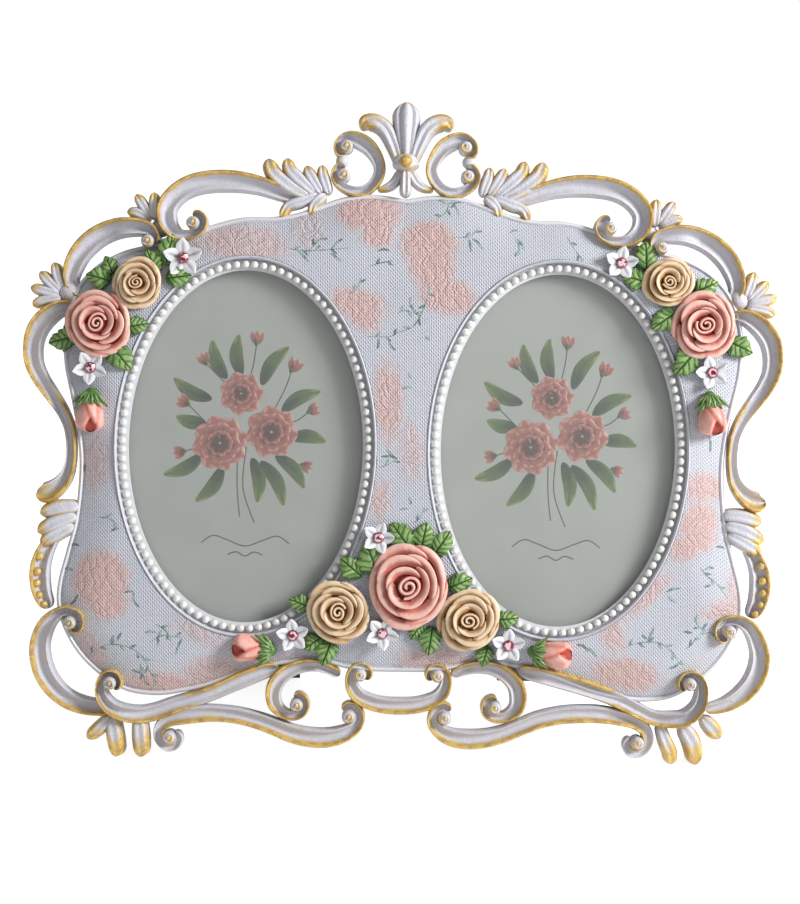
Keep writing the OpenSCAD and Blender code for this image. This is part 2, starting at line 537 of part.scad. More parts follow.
// Height of the panel's face under a place
function face_at(p) = crown([abs(p[0]), p[1]]);
module on_face(p, sink = 0) translate([p[0], p[1], face_at(p) - sink]) children();
module roses(places, tint) color(tint) stand() for (p = places)
    on_face([p[0] * half_w, p[1] * knot_h], 2 * seat) rotate(p[3]) rose(p[2]);

// Buds: place shares of the calyx, direction of the tip
bud_place_shares = [[-0.84, 0.61, -92], [0.828, 0.618, -82], [-0.344, 0.178, 176], [0.36, 0.182, -6]];
module rosebud() {
    relief(
        function (a) (1 + 0.08 * cos(3 * a)) * bud_l / 2 / norm([cos(a), sin(a) * bud_l / bud_w]),
        function (q, a) bud_w * 0.62 * sqrt(1.02 - q * q) + bud_w * 0.05 * cos(540 * q - a) * q,
        14, 4, seat
    );
}
module rosebuds() color("lightpink") stand() for (b = bud_place_shares)
    on_face([b[0] * half_w, b[1] * knot_h], seat) rotate(b[2]) translate([bud_l / 2, 0, 0]) rosebud();

// Leaves: place shares of the stalk end, direction, share of the leaf's length
leaf_place_shares = [
    [-0.645, 0.826, 78, 1.1], [-0.67, 0.811, 112, 0.9], [-0.645, 0.803, 8, 0.9],
    [-0.793, 0.798, 165, 0.9], [-0.787, 0.81, 115, 0.7], [-0.885, 0.705, 195, 1],
    [-0.75, 0.72, 10, 0.8], [-0.79, 0.69, -50, 1.1], [0.654, 0.829, 92, 1], [0.671, 0.808, 65, 0.8],
    [0.655, 0.808, 165, 0.9], [0.785, 0.792, 25, 0.9], [0.735, 0.758, 215, 1], [0.875, 0.712, -25, 1],
    [0.79, 0.694, 230, 1.1], [0.027, 0.35, 125, 1.15], [0.054, 0.35, 78, 1], [0.089, 0.343, 55, 1],
    [-0.058, 0.306, 112, 1.3], [-0.102, 0.304, 140, 1], [0.13, 0.288, 22, 0.9],
    [-0.24, 0.252, 160, 0.8], [-0.183, 0.197, 250, 0.95], [-0.207, 0.203, 215, 0.8],
    [0.089, 0.222, 262, 1], [0.061, 0.228, 235, 0.7], [0.26, 0.235, 5, 0.8], [0.24, 0.19, 255, 0.75]
];
leaf_w_share = 0.66;
leaf_t_share = 0.24;
module rose_leaf(l) translate([l / 2, 0, 0]) relief(
    function (a) l / 2 / norm([cos(a), sin(a) / leaf_w_share])
        * (1 + 0.16 * exp(-pow(min(a, 360 - a) / 24, 2))),
    function (q, a) l * leaf_t_share * (1 - 0.55 * q * q) - l * 0.05 * (abs(sin(a)) < 0.3 ? q : 0),
    10, 2, 2 * seat
);
module rose_leaves() color("yellowgreen") stand() for (p = leaf_place_shares)
    on_face([p[0] * half_w, p[1] * knot_h]) rotate(p[2]) rose_leaf(p[3] * leaf_l);

// Blossoms with five petals: place shares, share of the blossom's radius, turn
blossom_place_shares = [
    [-0.598, 0.8385, 1.15, 20], [-0.844, 0.651, 1, 50], [0.586, 0.84, 0.98, 10], [0.834, 0.657, 0.97, 35],
    [-0.06, 0.371, 0.95, 0], [-0.287, 0.204, 0.97, 25], [-0.046, 0.2095, 0.97, 60], [0.295, 0.1915, 1, 15]
];
blossom_t = 3.2;
module blossom(r) relief(
    function (a) r * (0.6 + 0.4 * abs(cos(2.5 * a))),
    function (q, a) blossom_t * (0.5 + 0.5 * q * q),
    20, 2, 2 * seat
);
module blossoms() color("white") stand() for (p = blossom_place_shares)
    on_face([p[0] * half_w, p[1] * knot_h]) rotate(p[3]) blossom(p[2] * blossom_r);
module rhinestones() color("crimson") stand() for (p = blossom_place_shares)
    on_face([p[0] * half_w, p[1] * knot_h]) translate([0, 0, blossom_t / 2 - seat])
        cylinder(r1 = stone_r, r2 = stone_r * 0.6, h = stone_r + seat, $fn = 16);

// What lies in a pocket, from the lip backwards
module pocket_disc(t, top) translate([0, 0, top - t])
    linear_extrude(t) polygon(ellipse(pocket_a - pocket_gap, pocket_b - pocket_gap, arc_steps));
module glass(s) color("lightcyan", 0.35) stand() at_oval(s) pocket_disc(glass_t, pocket_d);
module photo_card(s) color("darkseagreen") stand() at_oval(s) pocket_disc(card_t, pocket_d - glass_t);
module packing_card(s) color("tan") stand() at_oval(s) pocket_disc(packing_t, pocket_d - glass_t - card_t);
module back_board(s) color("dimgray") stand() at_oval(s) difference() {
    pocket_disc(board_t, board_t);
    for (x = [-1, 1]) translate([x * hinge_screw_x, hinge_v - oval_v + hinge_screw_y, -cut / 2])
        cylinder(r = screw_r, h = cut / 2 + hinge_screw_l, $fn = 24);
}

// Easel hinge
knuckle_l = hinge_w / 3;
hinge_screw_x = hinge_w / 2 - 2.2 * screw_r;
hinge_screw_y = leaf_plate_l - 2.2 * screw_r;
hinge_screw_l = board_t - seat;
module at_hinge(s) translate([s * oval_pitch / 2, hinge_v, axis_w]) children();
module barrel(x, l) translate([x, 0, 0]) rotate([0, 90, 0]) cylinder(r = knuckle_r, h = l, $fn = 32);
module bore(r) translate([-cut / 2, 0, 0]) rotate([0, 90, 0]) cylinder(r = r, h = cut, $fn = 32);
module hinge_plate() difference() {
    union() {
        translate([-hinge_w / 2, 0, -axis_w - sheet_t]) cube([hinge_w, leaf_plate_l, sheet_t]);
        for (x = [-hinge_w / 2, hinge_w / 2 - knuckle_l + turn_gap]) {
            barrel(x, knuckle_l - turn_gap);
            translate([x, 0, 0]) cube([knuckle_l - turn_gap, knuckle_r, -axis_w - sheet_t / 2]);
        }
    }
    bore(pin_r);
    translate([-knuckle_l / 2 - turn_gap, -leg_top_gap, -knuckle_r])
        cube([knuckle_l + 2 * turn_gap, 2 * leg_top_gap, cut]);
    for (x = [-1, 1]) translate([x * hinge_screw_x, hinge_screw_y, -cut / 2])
        cylinder(r = screw_r, h = cut, $fn = 24);
}
module hinge_plates() color("silver") stand() for (s = [-1, 1]) at_hinge(s) hinge_plate();
module hinge_pins() color("gainsboro") stand() for (s = [-1, 1]) at_hinge(s)
    translate([-hinge_w / 2, 0, 0]) rotate([0, 90, 0]) cylinder(r = pin_r, h = hinge_w, $fn = 32);

// The leg hangs from the hinge, turned out to its open angle
leg_front = knuckle_r - sheet_gap - leg_t;
leg_top_gap = knuckle_r + 2 * sheet_gap;
module opened(s) at_hinge(s) rotate([open_angle, 0, 0]) children();
module leg_leaf(s) color("silver") stand() opened(s) difference() {
    union() {
        translate([-hinge_w / 2, -leaf_plate_l, -knuckle_r])
            cube([hinge_w, leaf_plate_l - leg_top_gap, sheet_t]);
        translate([turn_gap - knuckle_l / 2, -leg_top_gap - seat, -knuckle_r])
            cube([knuckle_l - 2 * turn_gap, leg_top_gap + seat, sheet_t]);
        barrel(-knuckle_l / 2 + turn_gap, knuckle_l - 2 * turn_gap);
    }
    bore(pin_r + turn_gap);
}
module easel_leg(s) color("dimgray") difference() {
    stand() opened(s) translate([0, 0, sheet_t - knuckle_r]) linear_extrude(leg_t) polygon([
        [-leg_top_w / 2, -leg_top_gap], [leg_top_w / 2, -leg_top_gap],
        [leg_foot_w / 2, -leg_run - leg_t], [-leg_foot_w / 2, -leg_run - leg_t]
    ]);
    translate([-cut, -cut, -cut]) cube([2 * cut, 2 * cut, cut]);
}

// Turn buttons: the screw stands off the pocket's edge along its normal
button_angles = [90, -48, -132];
function button_at(t) = let (n = [cos(t) / pocket_a, sin(t) / pocket_b])
    [pocket_a * cos(t), pocket_b * sin(t)] + n / norm(n) * button_set;
function button_turn(t) = let (n = [cos(t) / pocket_a, sin(t) / pocket_b]) atan2(-n[1], -n[0]);
module at_button(s, k) at_oval(s) translate(button_at(button_angles[k])) children();
module turn_button(s, k) color("goldenrod") stand() at_button(s, k) rotate(button_turn(button_angles[k]))
    translate([0, 0, -sheet_gap - sheet_t]) difference() {
        union() {
            cylinder(d = button_w, h = sheet_t, $fn = 32);
            translate([0, -button_w / 2, 0]) cube([button_l - button_w, button_w, sheet_t]);
            translate([button_l - button_w, 0, 0]) cylinder(d = button_w, h = sheet_t, $fn = 32);
        }
        translate([0, 0, -sheet_t]) cylinder(r = screw_r + turn_gap, h = 3 * sheet_t, $fn = 32);
    }
head_r = 2 * screw_r;
head_t = screw_r;
module screw(shank) rotate_extrude($fn = 32) polygon([
    [0, 0], [head_r * 0.6, 0], [head_r, head_t * 0.6], [head_r, head_t], [screw_r, head_t],
    [screw_r, head_t + shank], [0, head_t + shank]
]);
module screws() color("gold") stand() {
    for (s = [-1, 1]) for (k = [0 : len(button_angles) - 1]) at_button(s, k)
        translate([0, 0, -2 * sheet_gap - sheet_t - head_t]) screw(2 * sheet_gap + sheet_t + screw_l);
    for (s = [-1, 1]) for (x = [-1, 1]) at_hinge(s)
        translate([x * hinge_screw_x, hinge_screw_y, -axis_w - sheet_t - head_t])
            screw(sheet_t + hinge_screw_l);
}

front_panel();
oval_rim(-1);  // oval_rim_left
oval_rim(1);  // oval_rim_right
pearls(-1);  // pearls_left
pearls(1);  // pearls_right
crest_finial();
scroll(-1, crest_row_shares, crest_eye_shares, -1);  // crest_scroll_left
scroll(1, crest_row_shares, crest_eye_shares, -1);  // crest_scroll_right
leaves(-1, crest_lobe_shares);  // crest_leaves_left
leaves(1, crest_lobe_shares);  // crest_leaves_right
scroll(-1, top_row_shares, top_eye_shares);  // top_scroll_left
scroll(1, top_right_row_shares, top_right_eye_shares);  // top_scroll_right
scroll(-1, shoulder_row_shares, shoulder_eye_shares);  // shoulder_scroll_left
scroll(1, shoulder_row_shares, shoulder_eye_shares);  // shoulder_scroll_right
leaves(-1, fan_lobe_shares);  // shoulder_fans_left
leaves(1, fan_lobe_shares);  // shoulder_fans_right
scroll(-1, side_row_shares, []);  // side_scroll_left
scroll(1, side_row_shares, []);  // side_scroll_right
leaves(-1, acanthus_lobe_shares);  // side_acanthus_left
leaves(1, acanthus_lobe_shares);  // side_acanthus_right
beaded_strip(-1);  // beaded_strip_left
beaded_strip(1);  // beaded_strip_right
scroll(-1, lower_row_shares, lower_eye_shares);  // lower_scroll_left
scroll(1, lower_right_row_shares, lower_eye_shares);  // lower_scroll_right
scroll(-1, corner_row_shares, corner_eye_shares);  // corner_scroll_left
scroll(1, corner_right_row_shares, corner_right_eye_shares);  // corner_scroll_right
foot_leaves(-1, foot_lobe_shares);  // foot_leaves_left
foot_leaves(1, foot_right_lobe_shares);  // foot_leaves_right
base_scroll(-1, base_row_shares, base_eye_shares);  // base_scroll_left
base_scroll(1, base_right_row_shares, base_right_eye_shares);  // base_scroll_right
scroll(-1, inner_row_shares, inner_eye_shares);  // inner_scroll_left
scroll(1, inner_right_row_shares, inner_right_eye_shares);  // inner_scroll_right
centre_swag();
roses(pink_place_shares, "lightcoral");  // pink_roses
roses(cream_place_shares, "wheat");  // cream_roses
rosebuds();
rose_leaves();
blossoms();
rhinestones();
glass(-1);  // glass_left
glass(1);  // glass_right
photo_card(-1);  // photo_card_left
photo_card(1);  // photo_card_right
packing_card(-1);  // packing_card_left
packing_card(1);  // packing_card_right
back_board(-1);  // back_board_left
back_board(1);  // back_board_right
hinge_plates();
hinge_pins();
leg_leaf(-1);  // leg_leaf_left
leg_leaf(1);  // leg_leaf_right
easel_leg(-1);  // easel_leg_left
easel_leg(1);  // easel_leg_right
turn_button(-1, 0);  // turn_button_left_top
turn_button(-1, 2);  // turn_button_left_outer
turn_button(-1, 1);  // turn_button_left_inner
turn_button(1, 0);  // turn_button_right_top
turn_button(1, 1);  // turn_button_right_outer
turn_button(1, 2);  // turn_button_right_inner
screws();
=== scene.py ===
"""Double photo frame with two oval windows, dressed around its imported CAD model.

Front pieces are modelled on a flat plan in millimetres: u to the right, v up the panel and w out of its face.
Layout leans that plan back into the frame's own metres. Every piece rides on the body that carries it.
"""

import logging
import math
from contextlib import contextmanager
from dataclasses import dataclass, field
from enum import Enum
from typing import Callable, Iterator, Sequence

import bmesh
import bpy
import numpy as np
from mathutils import Matrix, Vector


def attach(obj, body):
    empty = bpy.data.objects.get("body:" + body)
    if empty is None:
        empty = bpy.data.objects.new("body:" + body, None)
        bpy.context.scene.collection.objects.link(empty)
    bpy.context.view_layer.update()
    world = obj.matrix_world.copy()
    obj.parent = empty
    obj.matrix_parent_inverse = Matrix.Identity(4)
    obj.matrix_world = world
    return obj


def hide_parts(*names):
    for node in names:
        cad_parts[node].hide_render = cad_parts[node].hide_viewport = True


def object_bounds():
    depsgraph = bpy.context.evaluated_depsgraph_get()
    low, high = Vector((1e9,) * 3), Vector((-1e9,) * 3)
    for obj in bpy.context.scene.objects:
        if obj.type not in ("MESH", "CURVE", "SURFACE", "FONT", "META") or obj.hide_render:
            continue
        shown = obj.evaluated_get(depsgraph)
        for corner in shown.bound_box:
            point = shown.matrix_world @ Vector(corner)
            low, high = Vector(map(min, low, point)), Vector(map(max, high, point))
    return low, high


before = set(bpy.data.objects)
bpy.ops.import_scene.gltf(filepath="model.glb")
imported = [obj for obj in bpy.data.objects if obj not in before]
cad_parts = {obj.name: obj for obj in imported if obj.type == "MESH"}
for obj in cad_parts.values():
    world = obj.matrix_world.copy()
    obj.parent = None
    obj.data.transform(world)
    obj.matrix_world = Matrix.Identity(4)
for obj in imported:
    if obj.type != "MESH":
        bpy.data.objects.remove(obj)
cad_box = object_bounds()
LOW, HIGH = (np.array(corner) for corner in cad_box)

LOG = logging.getLogger("double_frame")
MM = 0.001
# Metres: points nearer than the first are joined, edges shorter than the second are dropped
WELD = 1e-6
SLIVER = 1e-7
Array = np.ndarray
Material = bpy.types.Material
Socket = bpy.types.NodeSocket
Row = tuple[float, ...]
Rows = Sequence[Row]


class Side(Enum):
    """Which half of the frame a piece is on."""

    LEFT = -1
    RIGHT = 1

    @property
    def word(self) -> str:
        """The side's name in the node names."""
        return self.name.lower()

    @property
    def middle(self) -> Array:
        """Plan place of the middle of the side's window."""
        return np.array([self.value * LAYOUT.oval_u, LAYOUT.oval_v])


@dataclass(frozen=True)
class Layout:
    """Sizes that every sub-assembly shares, in millimetres, and the lean of the whole frame."""

    half_w: float = 125.0
    knot_h: float = 200.0
    lean: float = math.radians(14)
    shift: float = -33.367
    ribbon_w: float = 7.0
    ribbon_t: float = 9.4
    ribbon_back: float = 0.8
    oval_u: float = 53.0
    oval_v: float = 104.4
    sight_a: float = 39.8
    sight_b: float = 59.8
    step_a: float = 44.7
    step_b: float = 64.7
    pocket_a: float = 44.8
    pocket_b: float = 64.8
    seat_w: float = 7.6
    edge_t: float = 6.0
    crown_t: float = 10.4
    crown_reach: float = 17.0
    pocket_d: float = 6.0

    def world(self, plan: Array) -> Array:
        """Leans plan points back into the frame's space.

        Args:
            plan: Points as rows of u, v, w in millimetres.

        Returns:
            The same points in metres.
        """
        u, v, w = plan[:, 0], plan[:, 1], plan[:, 2]
        c, s = math.cos(self.lean), math.sin(self.lean)
        return np.column_stack([u, v * s - w * c + self.shift, v * c + w * s]) * MM

    def point(self, u: float, v: float, w: float) -> Vector:
        """One plan point in metres."""
        return Vector(self.world(np.array([[u, v, w]]))[0])

    def matrix(self) -> Matrix:
        """The turn and move from plan millimetres to metres.

        Returns:
            A matrix that also scales.
        """
        o, x, y, z = (self.point(*p) for p in ((0, 0, 0), (1, 0, 0), (0, 1, 0), (0, 0, 1)))
        turn = Matrix((x - o, y - o, z - o)).transposed().to_4x4()
        return Matrix.Translation(o) @ turn


LAYOUT = Layout()


def smooth(rows: Rows, steps: int) -> Array:
    """Draws the smooth curve through rows of any number of values.

    Args:
        rows: The values that the curve passes through.
        steps: Points from one row to the next.

    Returns:
        The curve's points, first and last row included.
    """
    p = np.asarray(rows, float)
    last = len(p) - 1
    i = np.repeat(np.arange(last), steps)
    t = np.tile(np.arange(steps) / steps, last)[:, None]
    a, b, c, d = p[np.maximum(i - 1, 0)], p[i], p[i + 1], p[np.minimum(i + 2, last)]
    curve = (2 * b + (c - a) * t + (2 * a - 5 * b + 4 * c - d) * t * t + (3 * b - a - 3 * c + d) * t**3) / 2
    return np.vstack([curve, p[-1:]])


def mirrored(half: Rows) -> Rows:
    """Rows, and then the same rows on the other side in reverse, with a middle row only once."""
    return (*half, *((-u, *rest) for u, *rest in reversed(half) if u))


def ramp(x: Array, low: float, high: float) -> Array:
    """A soft step that is 0 at low and 1 at high."""
    t = np.clip((x - low) / (high - low), 0, 1)
    return t * t * (3 - 2 * t)


def circle(count: int) -> Array:
    """Even angles once round, in radians."""
    return np.linspace(0, 2 * math.pi, count, endpoint=False)


def oval(middle: Row, a: float, b: float, w: float, count: int) -> Array:
    """Points round an oval of half axes a and b that lies at one height."""
    t = circle(count)
    return np.column_stack([middle[0] + a * np.cos(t), middle[1] + b * np.sin(t), np.full(count, w)])


def turned(x: Array, y: Array, turn: float) -> tuple[Array, Array]:
    """Turns places about the origin by an angle in radians."""
    c, s = math.cos(turn), math.sin(turn)
    return x * c - y * s, x * s + y * c


class Shell:
    """Closed skins on the plan, gathered into one mesh with painted values at its points."""

    # Values painted on the points: gild is the gold, or the panel's white edging; fold is painted shade in the hollows
    # of the cast and modelled pieces, and the strength of the print on the panel and the cards; the third is how far
    # inside a rose patch of the panel's print a point lies, and on the stones their painted glint
    VALUES = ("gild", "fold", "tint")
    # A stroke's points across its half width, how far its rims reach under the surface, and the shade down its middle
    ACROSS = np.array([-1, -0.96, -0.5, 0, 0.5, 0.96, 1])
    UNDER = 0.04
    VEIN = 0.25

    def __init__(self) -> None:
        """Starts empty."""
        self.points: list[Array] = []
        self.quads: list[Array] = []
        self.tris: list[Array] = []
        self.values: dict[str, list[Array]] = {k: [] for k in self.VALUES}
        self.count = 0

    def add_points(self, plan: Array, **values: Array | float) -> Array:
        """Adds points and what is painted on them.

        Args:
            plan: Points as rows of u, v, w.
            **values: Painted values by name, one for each point or one for all.

        Returns:
            The new points' numbers.
        """
        n = len(plan)
        self.points.append(plan)
        for name in self.VALUES:
            self.values[name].append(np.broadcast_to(np.asarray(values.get(name, 0.0), float), (n,)))
        self.count += n
        return np.arange(self.count - n, self.count)

    def loft(self, rings: Array, loop: bool = False, **values: Array | float) -> None:
        """Skins closed rings of points, with a fan over each end.

        Args:
            rings: Array of rings by points by 3.
            loop: Whether the last ring joins the first, which leaves no ends.
            **values: Painted values of the same shape as the rings, or one for all.
        """
        n, m = rings.shape[:2]
        flat = {k: np.asarray(v, float).reshape(-1) if np.ndim(v) else v for k, v in values.items()}
        idx = self.add_points(rings.reshape(-1, 3), **flat).reshape(n, m)
        if loop:
            idx = np.vstack([idx, idx[:1]])
        turn = np.roll(idx, -1, axis=1)
        self.quads.append(np.stack([idx[:-1], turn[:-1], turn[1:], idx[1:]], axis=-1).reshape(-1, 4))
        if loop:
            return
        for row, ring in ((0, idx[0]), (-1, idx[-1])):
            mean = {k: float(np.mean(np.asarray(v).reshape(n, m)[row])) if np.ndim(v) else v for k, v in values.items()}
            hub = self.add_points(rings[row].mean(axis=0)[None], **mean)[0]
            fan = np.column_stack([np.full(m, hub), ring, np.roll(ring, -1)])
            self.tris.append(fan[:, ::-1] if row == 0 else fan)

    def ball(self, centre: Row, radius: float, **values: float) -> None:
        """Adds a round ball."""
        rings = [oval((0, 0), math.sin(q), math.sin(q), math.cos(q), 20) for q in np.linspace(0, math.pi, 11)[1:-1]]
        self.loft(np.array(rings) * radius + np.asarray(centre), **values)

    def mirror(self) -> None:
        """Turns everything gathered so far over to the other side."""
        for p in self.points:
            p[:, 0] *= -1

    def stroke(self, path: Array, half: Array, level: Callable[[Array], Array], lift: float = 0.05,
               fold: Array | float = 0.0) -> None:
        """Lays a thin flat stroke on a surface.

        Args:
            path: Its middle line as rows of u and v.
            half: Half its width at each point.
            level: Height of the surface at plan points.
            lift: How far it stands off the surface.
            fold: Depth of shade at each point.
        """
        step = np.gradient(path, axis=0)
        step /= np.linalg.norm(step, axis=1)[:, None] + 1e-9
        side = np.column_stack([-step[:, 1], step[:, 0]])
        spots = path[:, None] + side[:, None] * np.outer(half, self.ACROSS)[..., None]
        w = level(spots.reshape(-1, 2)).reshape(len(path), -1) + lift
        w[:, [0, -1]] -= lift + self.UNDER
        shade = np.broadcast_to(np.asarray(fold, float), len(path))[:, None] + self.VEIN * (self.ACROSS == 0)
        self.loft(np.dstack([spots, w]), fold=shade)

    def mesh(self) -> bpy.types.Mesh:
        """Turns what was gathered into a mesh in its place, inside the CAD model's box.

        Returns:
            The mesh.
        """
        spots = np.clip(LAYOUT.world(np.concatenate(self.points)), LOW, HIGH)
        faces = [f for group in (*self.quads, *self.tris) for f in group.tolist()]
        mesh = bpy.data.meshes.new("skin")
        mesh.from_pydata(spots.tolist(), [], faces)
        for key, parts in self.values.items():
            mesh.attributes.new(key, "FLOAT", "POINT").data.foreach_set("value", np.concatenate(parts))
        with mending(mesh) as bm:
            bmesh.ops.remove_doubles(bm, verts=bm.verts, dist=WELD)
            bmesh.ops.dissolve_degenerate(bm, edges=bm.edges, dist=SLIVER)
        return mesh


@contextmanager
def mending(mesh: bpy.types.Mesh) -> Iterator[bmesh.types.BMesh]:
    """Opens a mesh for mending, and turns its faces outwards before it closes.

    Args:
        mesh: The mesh.

    Yields:
        Its open form.
    """
    bm = bmesh.new()
    bm.from_mesh(mesh)
    yield bm
    bmesh.ops.recalc_face_normals(bm, faces=bm.faces)
    bm.to_mesh(mesh)
    bm.free()


def seat(name: str, mesh: bpy.types.Mesh, material: Material, nodes: Sequence[str] = (),
         body: str = "frame", sharp: float = 48.0) -> bpy.types.Object:
    """Puts a finished mesh into the scene, seats it on its body and reports it.

    Args:
        name: The piece's name.
        mesh: Its mesh, already in place.
        material: Its finish.
        nodes: The CAD nodes that it stands for.
        body: The body it rides on.
        sharp: Angle in degrees past which an edge stays sharp, 0 for facets.

    Returns:
        The piece.
    """
    mesh.name = name
    mesh.polygons.foreach_set("use_smooth", [sharp > 0] * len(mesh.polygons))
    if sharp:
        mesh.set_sharp_from_angle(angle=math.radians(sharp))
    mesh.materials.clear()
    mesh.materials.append(material)
    obj = bpy.data.objects.new(name, mesh)
    bpy.context.scene.collection.objects.link(obj)
    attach(obj, body)
    if nodes:
        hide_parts(*nodes)
    LOG.info("%s on %s, %d faces", name, body, len(mesh.polygons))
    return obj


class Shader:
    """A material under construction."""

    def __init__(self, name: str) -> None:
        """Starts a material with a plain surface shader.

        Args:
            name: The material's name.
        """
        self.material = bpy.data.materials.new(name)
        self.material.use_nodes = True
        self.tree = self.material.node_tree
        self.surface = self.tree.nodes["Principled BSDF"]

    def put(self, socket: Socket, value: object) -> None:
        """Links an input to a socket, or sets it.

        Args:
            socket: The input.
            value: A socket, a number, a vector or the three shares of a colour.
        """
        if isinstance(value, Socket):
            self.tree.links.new(value, socket)
        else:
            socket.default_value = (*value, 1.0) if socket.type == "RGBA" else value

    def node(self, kind: str, **settings: object) -> bpy.types.Node:
        """Adds a node and sets its properties and inputs.

        Args:
            kind: The node's type.
            **settings: Properties by name, then inputs as in_NAME or in_NUMBER.

        Returns:
            The node.
        """
        node = self.tree.nodes.new(kind)
        for key, value in settings.items():
            word = key.removeprefix("in_")
            if word == key:
                setattr(node, key, value)
            else:
                self.put(node.inputs[int(word) if word.isdigit() else word.replace("_", " ")], value)
        return node

    def math(self, operation: str, a: object, b: object = 0.0, clamp: bool = False) -> Socket:
        """Result of any operation on two numbers."""
        return self.node("ShaderNodeMath", operation=operation, use_clamp=clamp, in_0=a, in_1=b).outputs[0]

    def times(self, a: object, b: object) -> Socket:
        """Product of two numbers."""
        return self.math("MULTIPLY", a, b)

    def plus(self, a: object, b: object, clamp: bool = False) -> Socket:
        """Sum of two numbers."""
        return self.math("ADD", a, b, clamp)

    def ramp(self, value: object, low: float, high: float) -> Socket:
        """A soft step from 0 at low to 1 at high."""
        node = self.node("ShaderNodeMapRange", interpolation_type="SMOOTHSTEP", in_0=value, in_1=low, in_2=high)
        return node.outputs[0]

    def mix(self, share: object, a: object, b: object) -> Socket:
        """Blend of two colours.

        Args:
            share: How much of the second colour shows.
            a: The first colour.
            b: The second colour.

        Returns:
            The blend.
        """
        node = self.node("ShaderNodeMix", data_type="RGBA")
        for place, value in ((0, share), (6, a), (7, b)):
            self.put(node.inputs[place], value)
        return node.outputs[2]

    def spot(self) -> Socket:
        """Place on the object in metres, on the leaned plan's own axes."""
        place = self.node("ShaderNodeTexCoord").outputs["Object"]
        return self.node("ShaderNodeMapping", in_Vector=place, in_Rotation=(LAYOUT.lean - math.pi / 2, 0, 0)).outputs[0]

    def noise(self, scale: float, detail: float = 2.0, where: Socket | None = None) -> Socket:
        """Noise between about 0.3 and 0.7."""
        node = self.node("ShaderNodeTexNoise", in_Vector=where or self.spot(), in_Scale=scale, in_Detail=detail)
        return node.outputs["Fac"]

    def sway(self, noise: Socket, amount: float) -> Socket:
        """Noise moved to either side of zero and scaled."""
        return self.times(self.math("SUBTRACT", noise, 0.5), amount)

    def painted(self, name: str) -> Socket:
        """A value painted on the mesh's points."""
        return self.node("ShaderNodeAttribute", attribute_name=name).outputs["Fac"]

    def bump(self, height: object, distance: float, strength: float = 1.0) -> None:
        """Presses a height pattern into the surface."""
        node = self.node("ShaderNodeBump", in_Height=height, in_Distance=distance, in_Strength=strength)
        self.tree.links.new(node.outputs[0], self.surface.inputs["Normal"])

    def set(self, **inputs: object) -> None:
        """Sets or links inputs of the surface shader by name, with underscores for spaces."""
        for key, value in inputs.items():
            self.put(self.surface.inputs[key.replace("_", " ")], value)


def paint(red: int, green: int, blue: int) -> tuple[float, float, float]:
    """A paint's colour from the numbers of a colour card, 0 to 255."""
    levels = [c / 255 for c in (red, green, blue)]
    return tuple(c / 12.92 if c <= 0.04045 else ((c + 0.055) / 1.055) ** 2.4 for c in levels)


@dataclass(frozen=True)
class GildedResin:
    """Pearl white casting with gold brushed thinly over its ridges, and painted shade in its channels and crevices."""

    white: tuple = paint(208, 208, 217)
    shade: tuple = paint(156, 155, 168)
    gold: tuple = paint(220, 186, 92)
    ochre: tuple = paint(184, 140, 54)
    brush: float = 340.0
    stipple: float = 1700.0

    def make(self) -> Material:
        """Builds the material.

        Returns:
            The material.
        """
        s = Shader("gilded resin")
        wear = s.noise(self.brush, 4.0)
        fine = s.noise(self.stipple, 3.0)
        cover = s.plus(s.plus(s.painted("gild"), s.sway(wear, 1.5)), s.sway(fine, 0.4))
        gilded = s.times(s.ramp(cover, 0.22, 1.05), 0.94)
        grain = s.sway(fine, 0.5)
        # Painted shade: the fold values blend the white towards the shade colour in the channels, on the flanks and
        # backs, round the eyes and where ribbons meet the panel
        resin = s.mix(s.plus(s.painted("fold"), grain, clamp=True), self.white, self.shade)
        leaf = s.mix(s.ramp(s.plus(wear, grain), 0.36, 0.6), self.ochre, self.gold)
        s.set(
            Base_Color=s.mix(gilded, resin, leaf),
            Metallic=s.times(gilded, 0.2),
            Roughness=s.math("SUBTRACT", 0.46, s.times(gilded, 0.12)),
            Specular_IOR_Level=0.5,
        )
        s.bump(s.plus(fine, s.noise(300.0)), 0.0004, 0.7)
        return s.material


